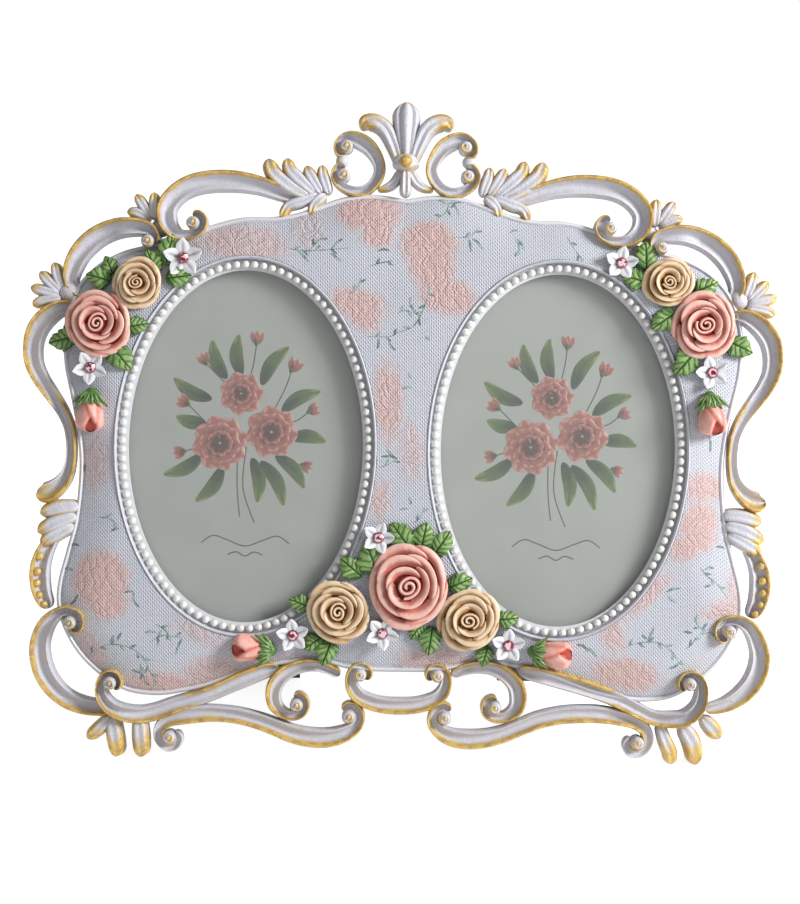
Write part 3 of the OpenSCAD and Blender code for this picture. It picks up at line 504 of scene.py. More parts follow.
@dataclass(frozen=True)
class PrintedPanel:
    """Pale blue enamel with a fine woven emboss, soft pink rose patches, sage sprigs and a white edging."""

    ground: tuple = paint(188, 191, 201)
    dot: tuple = paint(218, 221, 230)
    patch: tuple = paint(203, 173, 170)
    petal: tuple = paint(224, 198, 193)
    vein: tuple = paint(188, 152, 150)
    edging: tuple = paint(220, 220, 225)
    sprig: tuple = paint(96, 120, 118)
    bloom: tuple = paint(158, 178, 176)
    thread: float = 0.00118

    def weave(self, s: Shader) -> Socket:
        """Weaves the emboss from diagonal rows that break up into dots.

        Args:
            s: The material under construction.

        Returns:
            The weave's height.
        """
        axes = s.node("ShaderNodeSeparateXYZ", in_0=s.spot())
        pitch = 2 * math.pi / self.thread
        u, v = axes.outputs[0], axes.outputs[1]
        row = s.math("SINE", s.times(s.plus(u, s.times(v, 0.92)), pitch))
        dots = s.math("SINE", s.times(s.math("SUBTRACT", v, s.times(u, 0.6)), pitch * 0.9))
        return s.plus(s.times(row, 0.42), s.times(s.times(row, dots), 0.58))

    def petals(self, s: Shader) -> Socket:
        """Presses the outlines of petals, which show inside the rose patches.

        Args:
            s: The material under construction.

        Returns:
            Distance from the outlines.
        """
        where = s.spot()
        drift = s.node("ShaderNodeTexNoise", in_Vector=where, in_Scale=150.0, in_Detail=2.0).outputs["Color"]
        moved = s.node(
            "ShaderNodeVectorMath", operation="MULTIPLY_ADD", in_0=drift, in_1=(0.014, 0.014, 0.0), in_2=where
        ).outputs[0]
        return s.node(
            "ShaderNodeTexVoronoi", voronoi_dimensions="2D", feature="DISTANCE_TO_EDGE", in_Vector=moved, in_Scale=250.0
        ).outputs["Distance"]

    def make(self) -> Material:
        """Builds the material.

        Returns:
            The material.
        """
        s = Shader("printed panel")
        weave = self.weave(s)
        cloud = s.ramp(s.noise(45.0, 3.0), 0.3, 0.7)
        # Lighter on the weave's raised rows: partly the print's own pale dots, partly painted highlight on the emboss;
        # the petal colour in the rose patches works the same way
        thread = s.times(s.ramp(weave, -0.25, 0.75), s.plus(0.5, s.times(cloud, 0.5)))
        patch = s.ramp(s.plus(s.painted("tint"), s.sway(s.noise(380.0, 3.0), 0.6)), 0.12, 0.86)
        cell = self.petals(s)
        flower = s.mix(s.times(thread, 0.6), self.patch, self.petal)
        flower = s.mix(s.times(s.ramp(cell, 0.1, 0.0), 0.14), flower, self.vein)
        ground = s.mix(thread, self.ground, self.dot)
        colour = s.mix(s.times(patch, s.painted("fold")), ground, flower)
        s.set(Base_Color=s.mix(s.painted("gild"), colour, self.edging), Roughness=0.45)
        press = s.times(s.times(s.ramp(cell, 0.0, 0.3), patch), 1.3)
        printed = s.math("SUBTRACT", 1.0, s.painted("gild"), clamp=True)
        s.bump(s.times(s.plus(weave, press), printed), 0.00024, 0.8)
        return s.material

    def make_sprig(self) -> Material:
        """Builds the print of the sprigs.

        Returns:
            The material.
        """
        s = Shader("printed sprig")
        # Mottled between the sprig and bloom colours, a little lighter on the weave's raised rows as painted highlight
        tone = s.ramp(s.plus(s.noise(380.0, 2.0), s.times(self.weave(s), 0.08)), 0.38, 0.62)
        s.set(Base_Color=s.mix(tone, self.sprig, self.bloom), Roughness=0.45)
        s.bump(self.weave(s), 0.00016, 0.8)
        return s.material


@dataclass(frozen=True)
class FoldedPaint:
    """Hand-painted petals or leaves: a pale lip that is partly paler paint and partly painted highlight, a body colour
    and painted shade in the folds.
    """

    name: str
    lip: tuple
    body: tuple
    crevice: tuple
    gloss: float = 0.42

    def make(self) -> Material:
        """Builds the material.

        Returns:
            The material.
        """
        s = Shader(self.name)
        # Low fold values show the lip colour, partly paler paint and partly painted highlight; high ones show the
        # crevice colour as painted shade. On the card's prints all three colours are the print's own
        depth = s.plus(s.painted("fold"), s.sway(s.noise(380.0, 3.0), 0.5), clamp=True)
        pale = s.mix(s.ramp(depth, 0.0, 0.32), self.lip, self.body)
        s.set(Base_Color=s.mix(s.ramp(depth, 0.36, 0.95), pale, self.crevice), Roughness=self.gloss)
        s.bump(s.noise(520.0, 3.0), 0.0002, 0.6)
        return s.material


@dataclass(frozen=True)
class PlainFinish:
    """A finish of one colour, mottled a little, with a fine surface texture."""

    name: str
    colour: tuple
    roughness: float
    grain: float = 400.0
    relief: float = 0.0001
    sheen: float = 0.0
    coat: float = 0.0
    spread: float = 0.08

    def make(self) -> Material:
        """Builds the material.

        Returns:
            The material.
        """
        s = Shader(self.name)
        low, high = (tuple(c * k for c in self.colour) for k in (1 - self.spread, 1 + self.spread))
        s.set(
            Base_Color=s.mix(s.ramp(s.noise(self.grain, 4.0), 0.35, 0.65), low, high), Roughness=self.roughness,
            Sheen_Weight=self.sheen, Coat_Weight=self.coat,
        )
        s.bump(s.noise(self.grain * 2.5, 3.0), self.relief, 0.7)
        return s.material


@dataclass(frozen=True)
class BrushedMetal:
    """Plated sheet metal with fine brush lines along its length."""

    name: str
    colour: tuple
    roughness: float = 0.32

    def make(self) -> Material:
        """Builds the material.

        Returns:
            The material.
        """
        s = Shader(self.name)
        lines = s.node("ShaderNodeMapping", in_Vector=s.spot(), in_Scale=(60, 1600, 60)).outputs[0]
        streak = s.noise(1.0, 4.0, lines)
        s.set(
            Base_Color=s.mix(streak, tuple(c * 0.8 for c in self.colour), self.colour), Metallic=1.0,
            Roughness=s.plus(self.roughness - 0.1, s.times(streak, 0.2)),
        )
        s.bump(streak, 0.00003, 0.5)
        return s.material


@dataclass(frozen=True)
class ClearGlass:
    """Flat picture glass that lets the print through and keeps a faint reflection."""

    cover: float = 0.06

    def make(self) -> Material:
        """Builds the material.

        Returns:
            The material.
        """
        s = Shader("picture glass")
        faint = s.times(s.ramp(s.noise(8.0), 0.3, 0.7), 0.02)
        s.set(Base_Color=paint(225, 235, 232), Roughness=0.04, Alpha=s.plus(self.cover, faint))
        return s.material


# Rows of the scrollwork: share of the half width, share of the knot's height, share of the ribbon's width
CREST = (
    (0.164, 1.0215, 0.3), (0.18, 1.025, 0.4), (0.182, 1.037, 0.46), (0.168, 1.0475, 0.54), (0.148, 1.0495, 0.66),
    (0.126, 1.0435, 0.8), (0.102, 1.034, 0.78), (0.082, 1.018, 0.68), (0.071, 0.9995, 0.6), (0.077, 0.982, 0.58),
    (0.097, 0.966, 0.56), (0.124, 0.9585, 0.56), (0.152, 0.9605, 0.54), (0.178, 0.97, 0.48), (0.19, 0.986, 0.44),
    (0.18, 0.998, 0.36), (0.166, 0.9965, 0.26),
)
TOP_LEFT = (
    (0.27, 0.943, 0.5), (0.32, 0.95, 0.74), (0.4, 0.966, 0.92), (0.48, 0.9725, 1.06), (0.56, 0.968, 1.06),
    (0.614, 0.9525, 1.02), (0.646, 0.927, 1), (0.643, 0.899, 0.92), (0.616, 0.8805, 0.68), (0.584, 0.88, 0.54),
    (0.558, 0.8875, 0.48), (0.548, 0.9015, 0.42), (0.56, 0.9125, 0.36), (0.576, 0.912, 0.28),
)
TOP_RIGHT = (
    *TOP_LEFT[:7], (0.64, 0.899, 0.9), (0.607, 0.88, 0.7), (0.567, 0.8785, 0.56), (0.538, 0.888, 0.5),
    (0.528, 0.9025, 0.44), (0.541, 0.9135, 0.36), (0.557, 0.913, 0.28),
)
SHOULDER = (
    (0.68, 0.864, 0.36), (0.678, 0.877, 0.5), (0.692, 0.887, 0.66), (0.72, 0.891, 0.84), (0.76, 0.891, 0.94),
    (0.802, 0.885, 1.02), (0.842, 0.8715, 1.06), (0.877, 0.85, 1.04), (0.899, 0.825, 0.94), (0.906, 0.8025, 0.76),
    (0.894, 0.786, 0.5), (0.876, 0.7775, 0.34),
)
SIDE_ROWS = (
    (0.89, 0.755, 0.4), (0.929, 0.753, 0.76), (0.966, 0.7385, 0.94), (0.994, 0.7165, 0.96), (1.006, 0.69, 0.9),
    (1.004, 0.66, 0.86), (0.986, 0.634, 0.8), (0.958, 0.608, 0.74), (0.928, 0.58, 0.66), (0.908, 0.552, 0.58),
    (0.901, 0.5225, 0.54), (0.902, 0.4925, 0.56), (0.913, 0.468, 0.7), (0.938, 0.4485, 0.94), (0.968, 0.4385, 1.04),
    (0.992, 0.439, 0.84),
)
STRIP = (
    (0.94, 0.365, 0.5), (0.964, 0.3425, 0.78), (0.978, 0.3175, 0.92), (0.98, 0.2925, 0.96), (0.973, 0.2665, 0.86),
    (0.954, 0.242, 0.62),
)
STRIP_BALLS = (
    (0.98, 0.331, 1), (0.9856, 0.305, 0.96), (0.9864, 0.285, 0.92), (0.98, 0.265, 0.86), (0.9656, 0.249, 0.8),
)
LOWER_LEFT = (
    (0.89, 0.207, 0.28), (0.872, 0.2105, 0.36), (0.866, 0.223, 0.42), (0.877, 0.2345, 0.48), (0.902, 0.239, 0.52),
    (0.926, 0.2345, 0.6), (0.949, 0.2225, 0.74), (0.967, 0.204, 0.86), (0.978, 0.1775, 0.94), (0.973, 0.15, 0.98),
    (0.957, 0.125, 0.98), (0.93, 0.103, 0.94), (0.894, 0.0865, 0.9), (0.852, 0.0775, 0.86), (0.812, 0.0745, 0.8),
    (0.78, 0.073, 0.7),
)
LOWER_RIGHT = (
    *LOWER_LEFT[:5], (0.93, 0.235, 0.62), (0.956, 0.222, 0.76), (0.974, 0.2, 0.86), (0.982, 0.1775, 0.94),
    (0.977, 0.153, 0.98), (0.96, 0.13, 0.96), (0.93, 0.1095, 0.88), (0.894, 0.095, 0.74), (0.86, 0.088, 0.6),
    (0.836, 0.0855, 0.48),
)
CORNER_LEFT = (
    (0.772, 0.1085, 0.28), (0.761, 0.118, 0.36), (0.769, 0.13, 0.42), (0.789, 0.1315, 0.46), (0.805, 0.1195, 0.5),
    (0.806, 0.0995, 0.54), (0.786, 0.08, 0.66), (0.752, 0.0685, 0.78), (0.704, 0.064, 0.86), (0.66, 0.069, 0.86),
    (0.616, 0.079, 0.84), (0.568, 0.089, 0.8), (0.52, 0.0985, 0.8), (0.472, 0.112, 0.84), (0.416, 0.128, 0.9),
    (0.368, 0.14, 0.84), (0.328, 0.147, 0.6),
)
CORNER_RIGHT = (
    (0.778, 0.119, 0.28), (0.768, 0.1295, 0.36), (0.778, 0.1415, 0.42), (0.8, 0.1435, 0.46), (0.82, 0.1315, 0.52),
    (0.823, 0.11, 0.6), (0.811, 0.088, 0.7), (0.78, 0.0715, 0.77), (0.74, 0.0675, 0.8), (0.696, 0.07, 0.74),
    (0.652, 0.082, 0.76), (0.608, 0.0965, 0.8), (0.56, 0.1085, 0.84), (0.504, 0.12, 0.88), (0.448, 0.13, 0.9),
    (0.4, 0.1375, 0.88), (0.36, 0.143, 0.8), (0.322, 0.1485, 0.56),
)
BASE_LEFT = (
    (0.61, 0.035, 0.26), (0.598, 0.023, 0.36), (0.609, 0.0105, 0.44), (0.632, 0.0105, 0.5), (0.65, 0.0245, 0.56),
    (0.647, 0.0425, 0.6), (0.623, 0.0555, 0.7), (0.588, 0.0625, 0.86), (0.544, 0.0665, 0.88), (0.496, 0.0675, 0.82),
    (0.44, 0.0645, 0.8), (0.384, 0.0565, 0.82), (0.332, 0.0455, 0.86), (0.288, 0.035, 0.9), (0.24, 0.029, 0.94),
    (0.192, 0.0285, 0.94), (0.15, 0.035, 0.86), (0.12, 0.0455, 0.68), (0.105, 0.06, 0.56), (0.111, 0.0755, 0.48),
    (0.132, 0.083, 0.4), (0.152, 0.076, 0.3),
)
BASE_RIGHT = (
    (0.636, 0.035, 0.26), (0.625, 0.023, 0.36), (0.637, 0.0105, 0.44), (0.662, 0.0115, 0.52), (0.68, 0.028, 0.6),
    (0.674, 0.048, 0.64), (0.646, 0.0615, 0.68), (0.602, 0.0695, 0.78), (0.552, 0.0745, 0.86), (0.496, 0.075, 0.88),
    (0.44, 0.072, 0.86), (0.384, 0.064, 0.84), (0.336, 0.052, 0.82), (0.288, 0.0395, 0.84), (0.24, 0.0315, 0.9),
    (0.192, 0.029, 0.94), (0.148, 0.032, 0.88), (0.113, 0.0425, 0.72), (0.0945, 0.0585, 0.58), (0.1, 0.0755, 0.48),
    (0.121, 0.084, 0.4), (0.143, 0.0775, 0.3),
)
INNER_LEFT = (
    (0.16, 0.135, 0.42), (0.192, 0.145, 0.56), (0.228, 0.1515, 0.68), (0.264, 0.1495, 0.72), (0.298, 0.1415, 0.76),
    (0.325, 0.1275, 0.8), (0.34, 0.1075, 0.78), (0.336, 0.085, 0.7), (0.314, 0.07, 0.56), (0.286, 0.0655, 0.48),
    (0.262, 0.072, 0.44), (0.254, 0.0865, 0.4), (0.267, 0.0975, 0.34), (0.284, 0.096, 0.26),
)
INNER_RIGHT = (
    (0.144, 0.1365, 0.5), (0.176, 0.147, 0.62), (0.216, 0.152, 0.7), (0.256, 0.15, 0.76), (0.292, 0.139, 0.82),
    (0.318, 0.122, 0.86), (0.326, 0.1015, 0.86), (0.32, 0.083, 0.76), (0.297, 0.07, 0.6), (0.268, 0.066, 0.5),
    (0.243, 0.0735, 0.46), (0.238, 0.088, 0.4), (0.251, 0.0965, 0.34), (0.268, 0.095, 0.26),
)
SWAG = mirrored((
    (0.092, 0.129, 0.28), (0.084, 0.139, 0.36), (0.095, 0.149, 0.4), (0.115, 0.1475, 0.46), (0.129, 0.1345, 0.54),
    (0.126, 0.116, 0.66), (0.107, 0.0995, 0.74), (0.072, 0.0895, 0.78), (0.036, 0.085, 0.8), (0, 0.084, 0.82),
))

# Leaf lobes: each a path from its root to its tip
CREST_LOBES = (
    ((0.26, 0.946, 0.4), (0.32, 0.966, 0.64), (0.362, 0.989, 0.66), (0.374, 1.011, 0.24)),
    ((0.244, 0.952, 0.4), (0.288, 0.976, 0.6), (0.316, 0.994, 0.56), (0.322, 1.0125, 0.2)),
    ((0.228, 0.953, 0.4), (0.25, 0.975, 0.52), (0.262, 0.9875, 0.5), (0.27, 1, 0.2)),
    ((0.208, 0.953, 0.4), (0.22, 0.975, 0.5), (0.226, 0.9875, 0.46), (0.228, 1.0015, 0.2)),
    ((0.236, 0.952, 0.4), (0.288, 0.939, 0.5), (0.32, 0.931, 0.44), (0.336, 0.912, 0.16)),
    ((0.216, 0.9525, 0.4), (0.236, 0.9425, 0.5), (0.25, 0.9325, 0.42), (0.256, 0.917, 0.16)),
)
FAN_LOBES = (
    ((0.68, 0.905, 0.36), (0.683, 0.93, 0.46), (0.6825, 0.9515, 0.24)),
    ((0.69, 0.908, 0.36), (0.714, 0.93, 0.46), (0.732, 0.9475, 0.24)),
    ((0.694, 0.905, 0.36), (0.728, 0.9165, 0.46), (0.756, 0.9175, 0.24)),
    ((0.93, 0.785, 0.4), (0.944, 0.81, 0.48), (0.952, 0.83, 0.24)),
    ((0.936, 0.78, 0.4), (0.97, 0.8, 0.48), (0.99, 0.814, 0.24)),
    ((0.936, 0.775, 0.4), (0.984, 0.7825, 0.48), (1.015, 0.7875, 0.24)),
    ((0.932, 0.77, 0.4), (0.984, 0.765, 0.46), (1.008, 0.755, 0.22)),
)
ACANTHUS_LOBES = (
    ((0.874, 0.416, 0.5), (0.93, 0.4135, 0.66), (0.98, 0.403, 0.2)),
    ((0.88, 0.4, 0.5), (0.936, 0.389, 0.68), (0.986, 0.371, 0.2)),
    ((0.888, 0.384, 0.5), (0.938, 0.368, 0.64), (0.978, 0.3515, 0.2)),
)
FOOT_LOBES_LEFT = (
    ((0.78, 0.06, 0.5), (0.812, 0.04, 0.6), (0.844, 0.0225, 0.24)),
    ((0.776, 0.06, 0.6), (0.77, 0.03, 0.74), (0.764, 0.0075, 0.7), (0.764, -0.008, 0.4)),
    ((0.704, 0.06, 0.6), (0.7, 0.03, 0.74), (0.697, 0.0075, 0.7), (0.696, -0.008, 0.4)),
)
FOOT_LOBES_RIGHT = (
    ((0.826, 0.072, 0.5), (0.852, 0.055, 0.72), (0.875, 0.0365, 0.44)),
    ((0.77, 0.058, 0.6), (0.796, 0.034, 0.8), (0.806, 0.0125, 0.76), (0.81, -0.008, 0.44)),
    ((0.712, 0.06, 0.45), (0.728, 0.03, 0.6), (0.74, 0.0125, 0.62), (0.744, -0.008, 0.4)),
)
PETAL = ((0.018, 1.005, 0.5), (0.034, 1.035, 0.72), (0.055, 1.0615, 0.84), (0.082, 1.0745, 0.86), (0.108, 1.075, 0.8),
         (0.122, 1.065, 0.62))
FINIAL = ((0, 1.008, 0.62), (0, 1.03, 0.86), (0, 1.055, 1.14), (0, 1.078, 1.36), (0, 1.096, 1.36), (0, 1.1085, 1.1))
TASSEL = ((0, 0.995, 0.5), (0, 0.975, 0.56), (0, 0.95, 0.64))
WING = ((0.012, 0.995, 0.5), (0.03, 0.975, 0.5), (0.05, 0.966, 0.42), (0.076, 0.962, 0.2))
KNOT = ((-0.036, 1.004, 0.4), (-0.016, 1.0065, 0.86), (0.016, 1.0065, 0.86), (0.036, 1.004, 0.4))

# Outline of the panel's right half, from the top of the middle round to its foot
PANEL_EDGE = (
    (0, 0.946), (0.08, 0.953), (0.16, 0.949), (0.22, 0.937), (0.29, 0.921), (0.36, 0.913), (0.44, 0.9115),
    (0.52, 0.899), (0.62, 0.876), (0.7, 0.8625), (0.77, 0.85), (0.84, 0.825), (0.895, 0.785), (0.924, 0.725),
    (0.922, 0.66), (0.902, 0.6), (0.884, 0.54), (0.877, 0.48), (0.887, 0.4), (0.91, 0.34), (0.93, 0.29),
    (0.933, 0.25), (0.912, 0.205), (0.87, 0.163), (0.81, 0.128), (0.74, 0.103), (0.66, 0.0965), (0.59, 0.102),
    (0.52, 0.112), (0.44, 0.131), (0.37, 0.145), (0.29, 0.153), (0.22, 0.157), (0.14, 0.146), (0.07, 0.142),
    (0, 0.1415),
)


@dataclass(frozen=True)
class Ribbon:
    """A pair of ribbons: their paths, the places and lifts of their volutes' eyes, and how the gold runs."""

    name: str
    left: Rows
    right: Rows
    eyes: Rows = ()
    right_eyes: Rows = ()
    turn: int = 1
    flip: tuple[float, float] | None = None
    lift: tuple[float, float] = (0.0, 0.0)
    tip: float = 0.0
    wash: float = 0.0


RIBBONS = (
    Ribbon("crest_scroll", CREST, CREST, ((0.162, 1.034, 0), (0.169, 0.985, 0)), turn=-1),
    Ribbon("top_scroll", TOP_LEFT, TOP_RIGHT, ((0.5745, 0.8995, 2.6),), ((0.5565, 0.8995, 2.6),), lift=(0, 2.6)),
    Ribbon("shoulder_scroll", SHOULDER, SHOULDER, ((0.696, 0.867, 3),), lift=(3, 0)),
    Ribbon("side_scroll", SIDE_ROWS, SIDE_ROWS, flip=(0.42, 0.6), lift=(1.5, 0), tip=0.6, wash=0.25),
    Ribbon("beaded_strip", STRIP, STRIP),
    Ribbon("lower_scroll", LOWER_LEFT, LOWER_RIGHT, ((0.893, 0.2195, 3.6),), lift=(3.6, 0), wash=0.3),
    Ribbon("corner_scroll", CORNER_LEFT, CORNER_RIGHT, ((0.7815, 0.1185, 3.6),), ((0.788, 0.1295, 3.6),),
           flip=(0.52, 0.7), lift=(3.6, 0), wash=0.3),
    Ribbon("base_scroll", BASE_LEFT, BASE_RIGHT, ((0.135, 0.065, 0), (0.622, 0.0265, 0)),
           ((0.126, 0.065, 0), (0.651, 0.0275, 0)), wash=0.5),
    Ribbon("inner_scroll", INNER_LEFT, INNER_RIGHT, ((0.277, 0.0835, 0),), ((0.2615, 0.0835, 0),), wash=0.5),
)


@dataclass
class Scrollwork:
    """Ribbons with a gilded ridge, a hollow channel and a thin inner ridge, and the leaves that grow from them."""

    finish: GildedResin = field(default_factory=GildedResin)
    eye_r: float = 2.3
    ball_r: float = 1.6
    finial_t: float = 12.4
    knot_rise: float = 0.9
    knot_ball: tuple = (0, 1.0065, -0.7, 2.3)
    least: float = 0.52
    steps: int = 9
    slim: float = 0.62
    end_drop: float = 0.2
    gold_start: float = 0.82
    material: Material = field(init=False)
    # Small bosses that fill the corners where ribbons meet: ribbon, place shares, height, radius
    bosses: tuple = (
        ("crest_scroll", 0.172, 1.0095, 5.2, 2.3), ("top_scroll", 0.664, 0.893, 3.6, 3.4),
        ("side_scroll", 0.912, 0.782, 4.2, 3.8),
    )
    # Cross-sections: share of the half width, share of the height, gold, shade
    ribbon: tuple = (
        (0.92, 0, 0, 0.5), (1, 0.3, 0.05, 0.3), (1, 0.6, 0.35, 0.1), (0.98, 0.8, 1.0, 0), (0.91, 0.93, 1.2, 0),
        (0.79, 1, 1.2, 0), (0.66, 0.99, 1.1, 0), (0.55, 0.91, 0.85, 0.05), (0.44, 0.78, 0.4, 0.2),
        (0.28, 0.67, 0.05, 0.24), (0.06, 0.62, 0, 0.05), (-0.18, 0.63, 0, 0), (-0.38, 0.67, 0, 0.06),
        (-0.52, 0.74, 0, 0.04), (-0.64, 0.8, 0.2, 0), (-0.76, 0.81, 0.36, 0), (-0.87, 0.72, 0.2, 0),
        (-0.96, 0.52, 0, 0.3), (-1, 0.35, 0, 0.5), (-0.97, 0.15, 0, 0.7), (-0.92, 0, 0, 0.5), (-0.3, 0, 0, 0.15),
        (0.3, 0, 0, 0.15),
    )
    leaf: tuple = (
        (0.8, 0, 0, 0.8), (0.97, 0.15, 0, 0.5), (1, 0.38, 0.2, 0.2),
        *mirrored(((0.95, 0.62, 0.45, 0), (0.82, 0.84, 0.55, 0), (0.62, 0.97, 0.4, 0), (0.42, 1, 0.15, 0),
                   (0.2, 0.98, 0, 0.03), (0, 0.955, 0, 0.1))),
        (-1, 0.38, 0.2, 0.3), (-0.97, 0.15, 0, 0.6), (-0.8, 0, 0, 0.6), (0, 0, 0, 0.15),
    )
    fluted: tuple = (
        (0.8, 0, 0, 0.8),
        *mirrored(((0.97, 0.2, 0, 0.4), (1, 0.42, 0.1, 0.1), (0.95, 0.66, 0.25, 0), (0.84, 0.82, 0.25, 0),
                   (0.68, 0.89, 0.05, 0), (0.54, 0.88, 0, 0.1), (0.44, 0.87, 0, 0.3), (0.34, 0.92, 0, 0.08),
                   (0.2, 0.98, 0, 0), (0, 1, 0, 0))),
        (-0.8, 0, 0, 0.6), (0, 0, 0, 0.15),
    )

    def sweep(self, shell: Shell, rows: Rows, section: Rows, top: float, turn: int = 1, tip: float = 0.0,
              start: float = 0.45, least: float = 0.0, flip: tuple[float, float] | None = None,
              lift: tuple[float, float] = (0.0, 0.0), wash: float = 0.0) -> None:
        """Sweeps a cross-section along a path and rounds its ends.

        Args:
            shell: Where the skin goes.
            rows: The path's rows of shares.
            section: Rows of share across, share of the height, gold and shade.
            top: Height of the piece at its full width.
            turn: 1 where the gilded ridge is left of the way along the path, -1 where it is right of it.
            tip: Gold that is added towards the path's end.
            start: Share of the way where that gold begins.
            least: Least share of the ribbon's width.
            flip: Shares of the way between which the gilded ridge crosses to the other side.
            lift: Height that is added at the path's start and end, where it lies on the panel.
            wash: Gold that is added down the inner flank of the gilded ridge.
        """
        p = smooth(rows, self.steps)
        u, v = p[:, 0] * LAYOUT.half_w, p[:, 1] * LAYOUT.knot_h
        du, dv = np.gradient(u), np.gradient(v)
        run = np.hypot(du, dv)
        nu, nv = -dv / run * turn, du / run * turn
        way = np.concatenate([[0], np.cumsum(np.hypot(np.diff(u), np.diff(v)))])
        along = way / way[-1]
        wide = np.maximum(p[:, 2], least)
        half = wide * LAYOUT.ribbon_w / 2
        share = np.ones(len(p))
        for gap in (way, way[-1] - way):
            share = np.minimum(share, np.sqrt(np.clip(1 - (1 - np.clip(gap / half, 0, 1)) ** 2, 0.02, 1)))
        height = top * (self.slim + (1 - self.slim) * np.minimum(1, wide)) - LAYOUT.ribbon_back
        height = height + lift[0] * (1 - ramp(along, 0.25, 0.45)) + lift[1] * ramp(along, 0.6, 0.78)
        height = (height * (1 - self.end_drop + self.end_drop * share))[:, None]
        q = np.array(section, float)
        q[:, 2] += wash * ramp(q[:, 0], 0.0, 0.5) * (q[:, 1] > 0.5)
        if flip:
            over = ramp(along, *flip)[:, None, None]
            back = q[[*range(len(q) - 3, -1, -1), -1, -2]] * (-1, 1, 1, 1)
            q = q * (1 - over) + back * over
        q = np.broadcast_to(q, (len(p), *q.shape[-2:]))
        across = (half * share)[:, None] * q[..., 0]
        rings = np.stack([
            u[:, None] + nu[:, None] * across, v[:, None] + nv[:, None] * across,
            LAYOUT.ribbon_back + height * q[..., 1],
        ], axis=-1)
        gild = q[..., 2] + tip * ramp(along, start, 1.0)[:, None] * (q[..., 1] > 0.3)
        shell.loft(rings, gild=gild, fold=q[..., 3])

    def eye(self, shell: Shell, place: Row) -> None:
        """Adds the domed eye of a volute with a gold swirl.

        Args:
            shell: Where the skin goes.
            place: Shares of the eye's place, and its lift.
        """
        # Rings of the eye: share of its radius, share of its height, painted shade, darkest round its foot
        shares = np.array([(1, 0.0, 0.8), (1, 0.4, 0.5), (1, 0.66, 0.35), (0.96, 0.8, 0.2), (0.86, 0.9, 0.1),
                           (0.72, 0.97, 0), (0.56, 1.0, 0.1), (0.42, 0.97, 0.4), (0.28, 1.0, 0), (0.12, 1.04, 0)])
        a = circle(32)
        r = np.outer(shares[:, 0] * self.eye_r, np.ones(len(a)))
        rise = LAYOUT.ribbon_t - LAYOUT.ribbon_back + place[2]
        swirl = np.cos(a[None] - shares[:, 0][:, None] * 6)
        rings = np.stack([
            place[0] * LAYOUT.half_w + r * np.cos(a), place[1] * LAYOUT.knot_h + r * np.sin(a),
            LAYOUT.ribbon_back + (shares[:, 1][:, None] * (1 + 0.03 * swirl * (shares[:, 0] < 0.97)[:, None])) * rise,
        ], axis=-1)
        gild = 1.15 * ramp(swirl, 0.1, 0.8) * (shares[:, 1] > 0.6)[:, None] + (shares[:, 0] < 0.2)[:, None]
        shell.loft(rings, gild=gild, fold=np.broadcast_to(shares[:, 2][:, None], gild.shape))

    def scroll(self, ribbon: Ribbon, side: Side) -> None:
        """Makes one ribbon with its eyes.

        Args:
            ribbon: The pair that it belongs to.
            side: The side it is on.
        """
        shell = Shell()
        rows, eyes = ribbon.left, ribbon.eyes
        if side is Side.RIGHT:
            rows, eyes = ribbon.right, ribbon.right_eyes or ribbon.eyes
        self.sweep(shell, rows, self.ribbon, LAYOUT.ribbon_t, ribbon.turn, ribbon.tip, self.gold_start, self.least,
                   ribbon.flip, ribbon.lift, ribbon.wash)
        for place in eyes:
            self.eye(shell, place)
        if ribbon.name == "beaded_strip":
            self.balls(shell)
        for name, u, v, w, size in self.bosses:
            if name == ribbon.name:
                shell.ball((u * LAYOUT.half_w, v * LAYOUT.knot_h, w), size, fold=0.05)
        if side is Side.LEFT:
            shell.mirror()
        node = f"{ribbon.name}_{side.word}"
        seat(f"scrollwork.{node}", shell.mesh(), self.material, [node])

    def leaves(self, node: str, lobes: Sequence[Rows], side: Side, tip: float = 0.85, start: float = 0.5,
               swell: float = 1.25) -> None:
        """Makes a group of leaf lobes with round tips.

        Args:
            node: The CAD node that it replaces.
            lobes: Each lobe's rows.
            side: The side it is on.
            tip: Gold on the tips.
            start: Share of a lobe's length where that gold begins.
            swell: How much the lobes are widened.
        """
        shell = Shell()
        for rows in lobes:
            last = max(rows[-1][2], 0.85 * rows[-2][2])
            rows = [(u, v, w * swell) for u, v, w in (*rows[:-1], (*rows[-1][:2], last))]
            self.sweep(shell, rows, self.leaf, LAYOUT.ribbon_t, tip=tip, start=start)
        if side is Side.LEFT:
            shell.mirror()
        seat(f"leaves.{node}", shell.mesh(), self.material, [node])

    def balls(self, shell: Shell) -> None:
        """Adds the balls along the beaded strip."""
        for u, v, size in STRIP_BALLS:
            shell.ball((u * LAYOUT.half_w, v * LAYOUT.knot_h, LAYOUT.ribbon_t * 0.78), size * self.ball_r, gild=0.95)

    def finial(self) -> None:
        """Makes the crest's middle leaf, its petals, knot, tassel and wings."""
        shell = Shell()
        self.sweep(shell, FINIAL, self.fluted, self.finial_t, tip=0.5, start=0.7)
        self.sweep(shell, KNOT, self.leaf, self.finial_t + self.knot_rise, tip=0.2)
        u, v, w, size = self.knot_ball
        shell.ball((u, v * LAYOUT.knot_h, self.finial_t + w), size, gild=1.2)
        self.sweep(shell, TASSEL, self.leaf, self.finial_t)
        for turn in (1, -1):
            for rows, top in ((PETAL, self.finial_t), (WING, LAYOUT.ribbon_t)):
                self.sweep(shell, [(turn * u, v, w) for u, v, w in rows], self.leaf, top, tip=0.9, start=0.55)
        seat("scrollwork.crest_finial", shell.mesh(), self.material, ["crest_finial"])

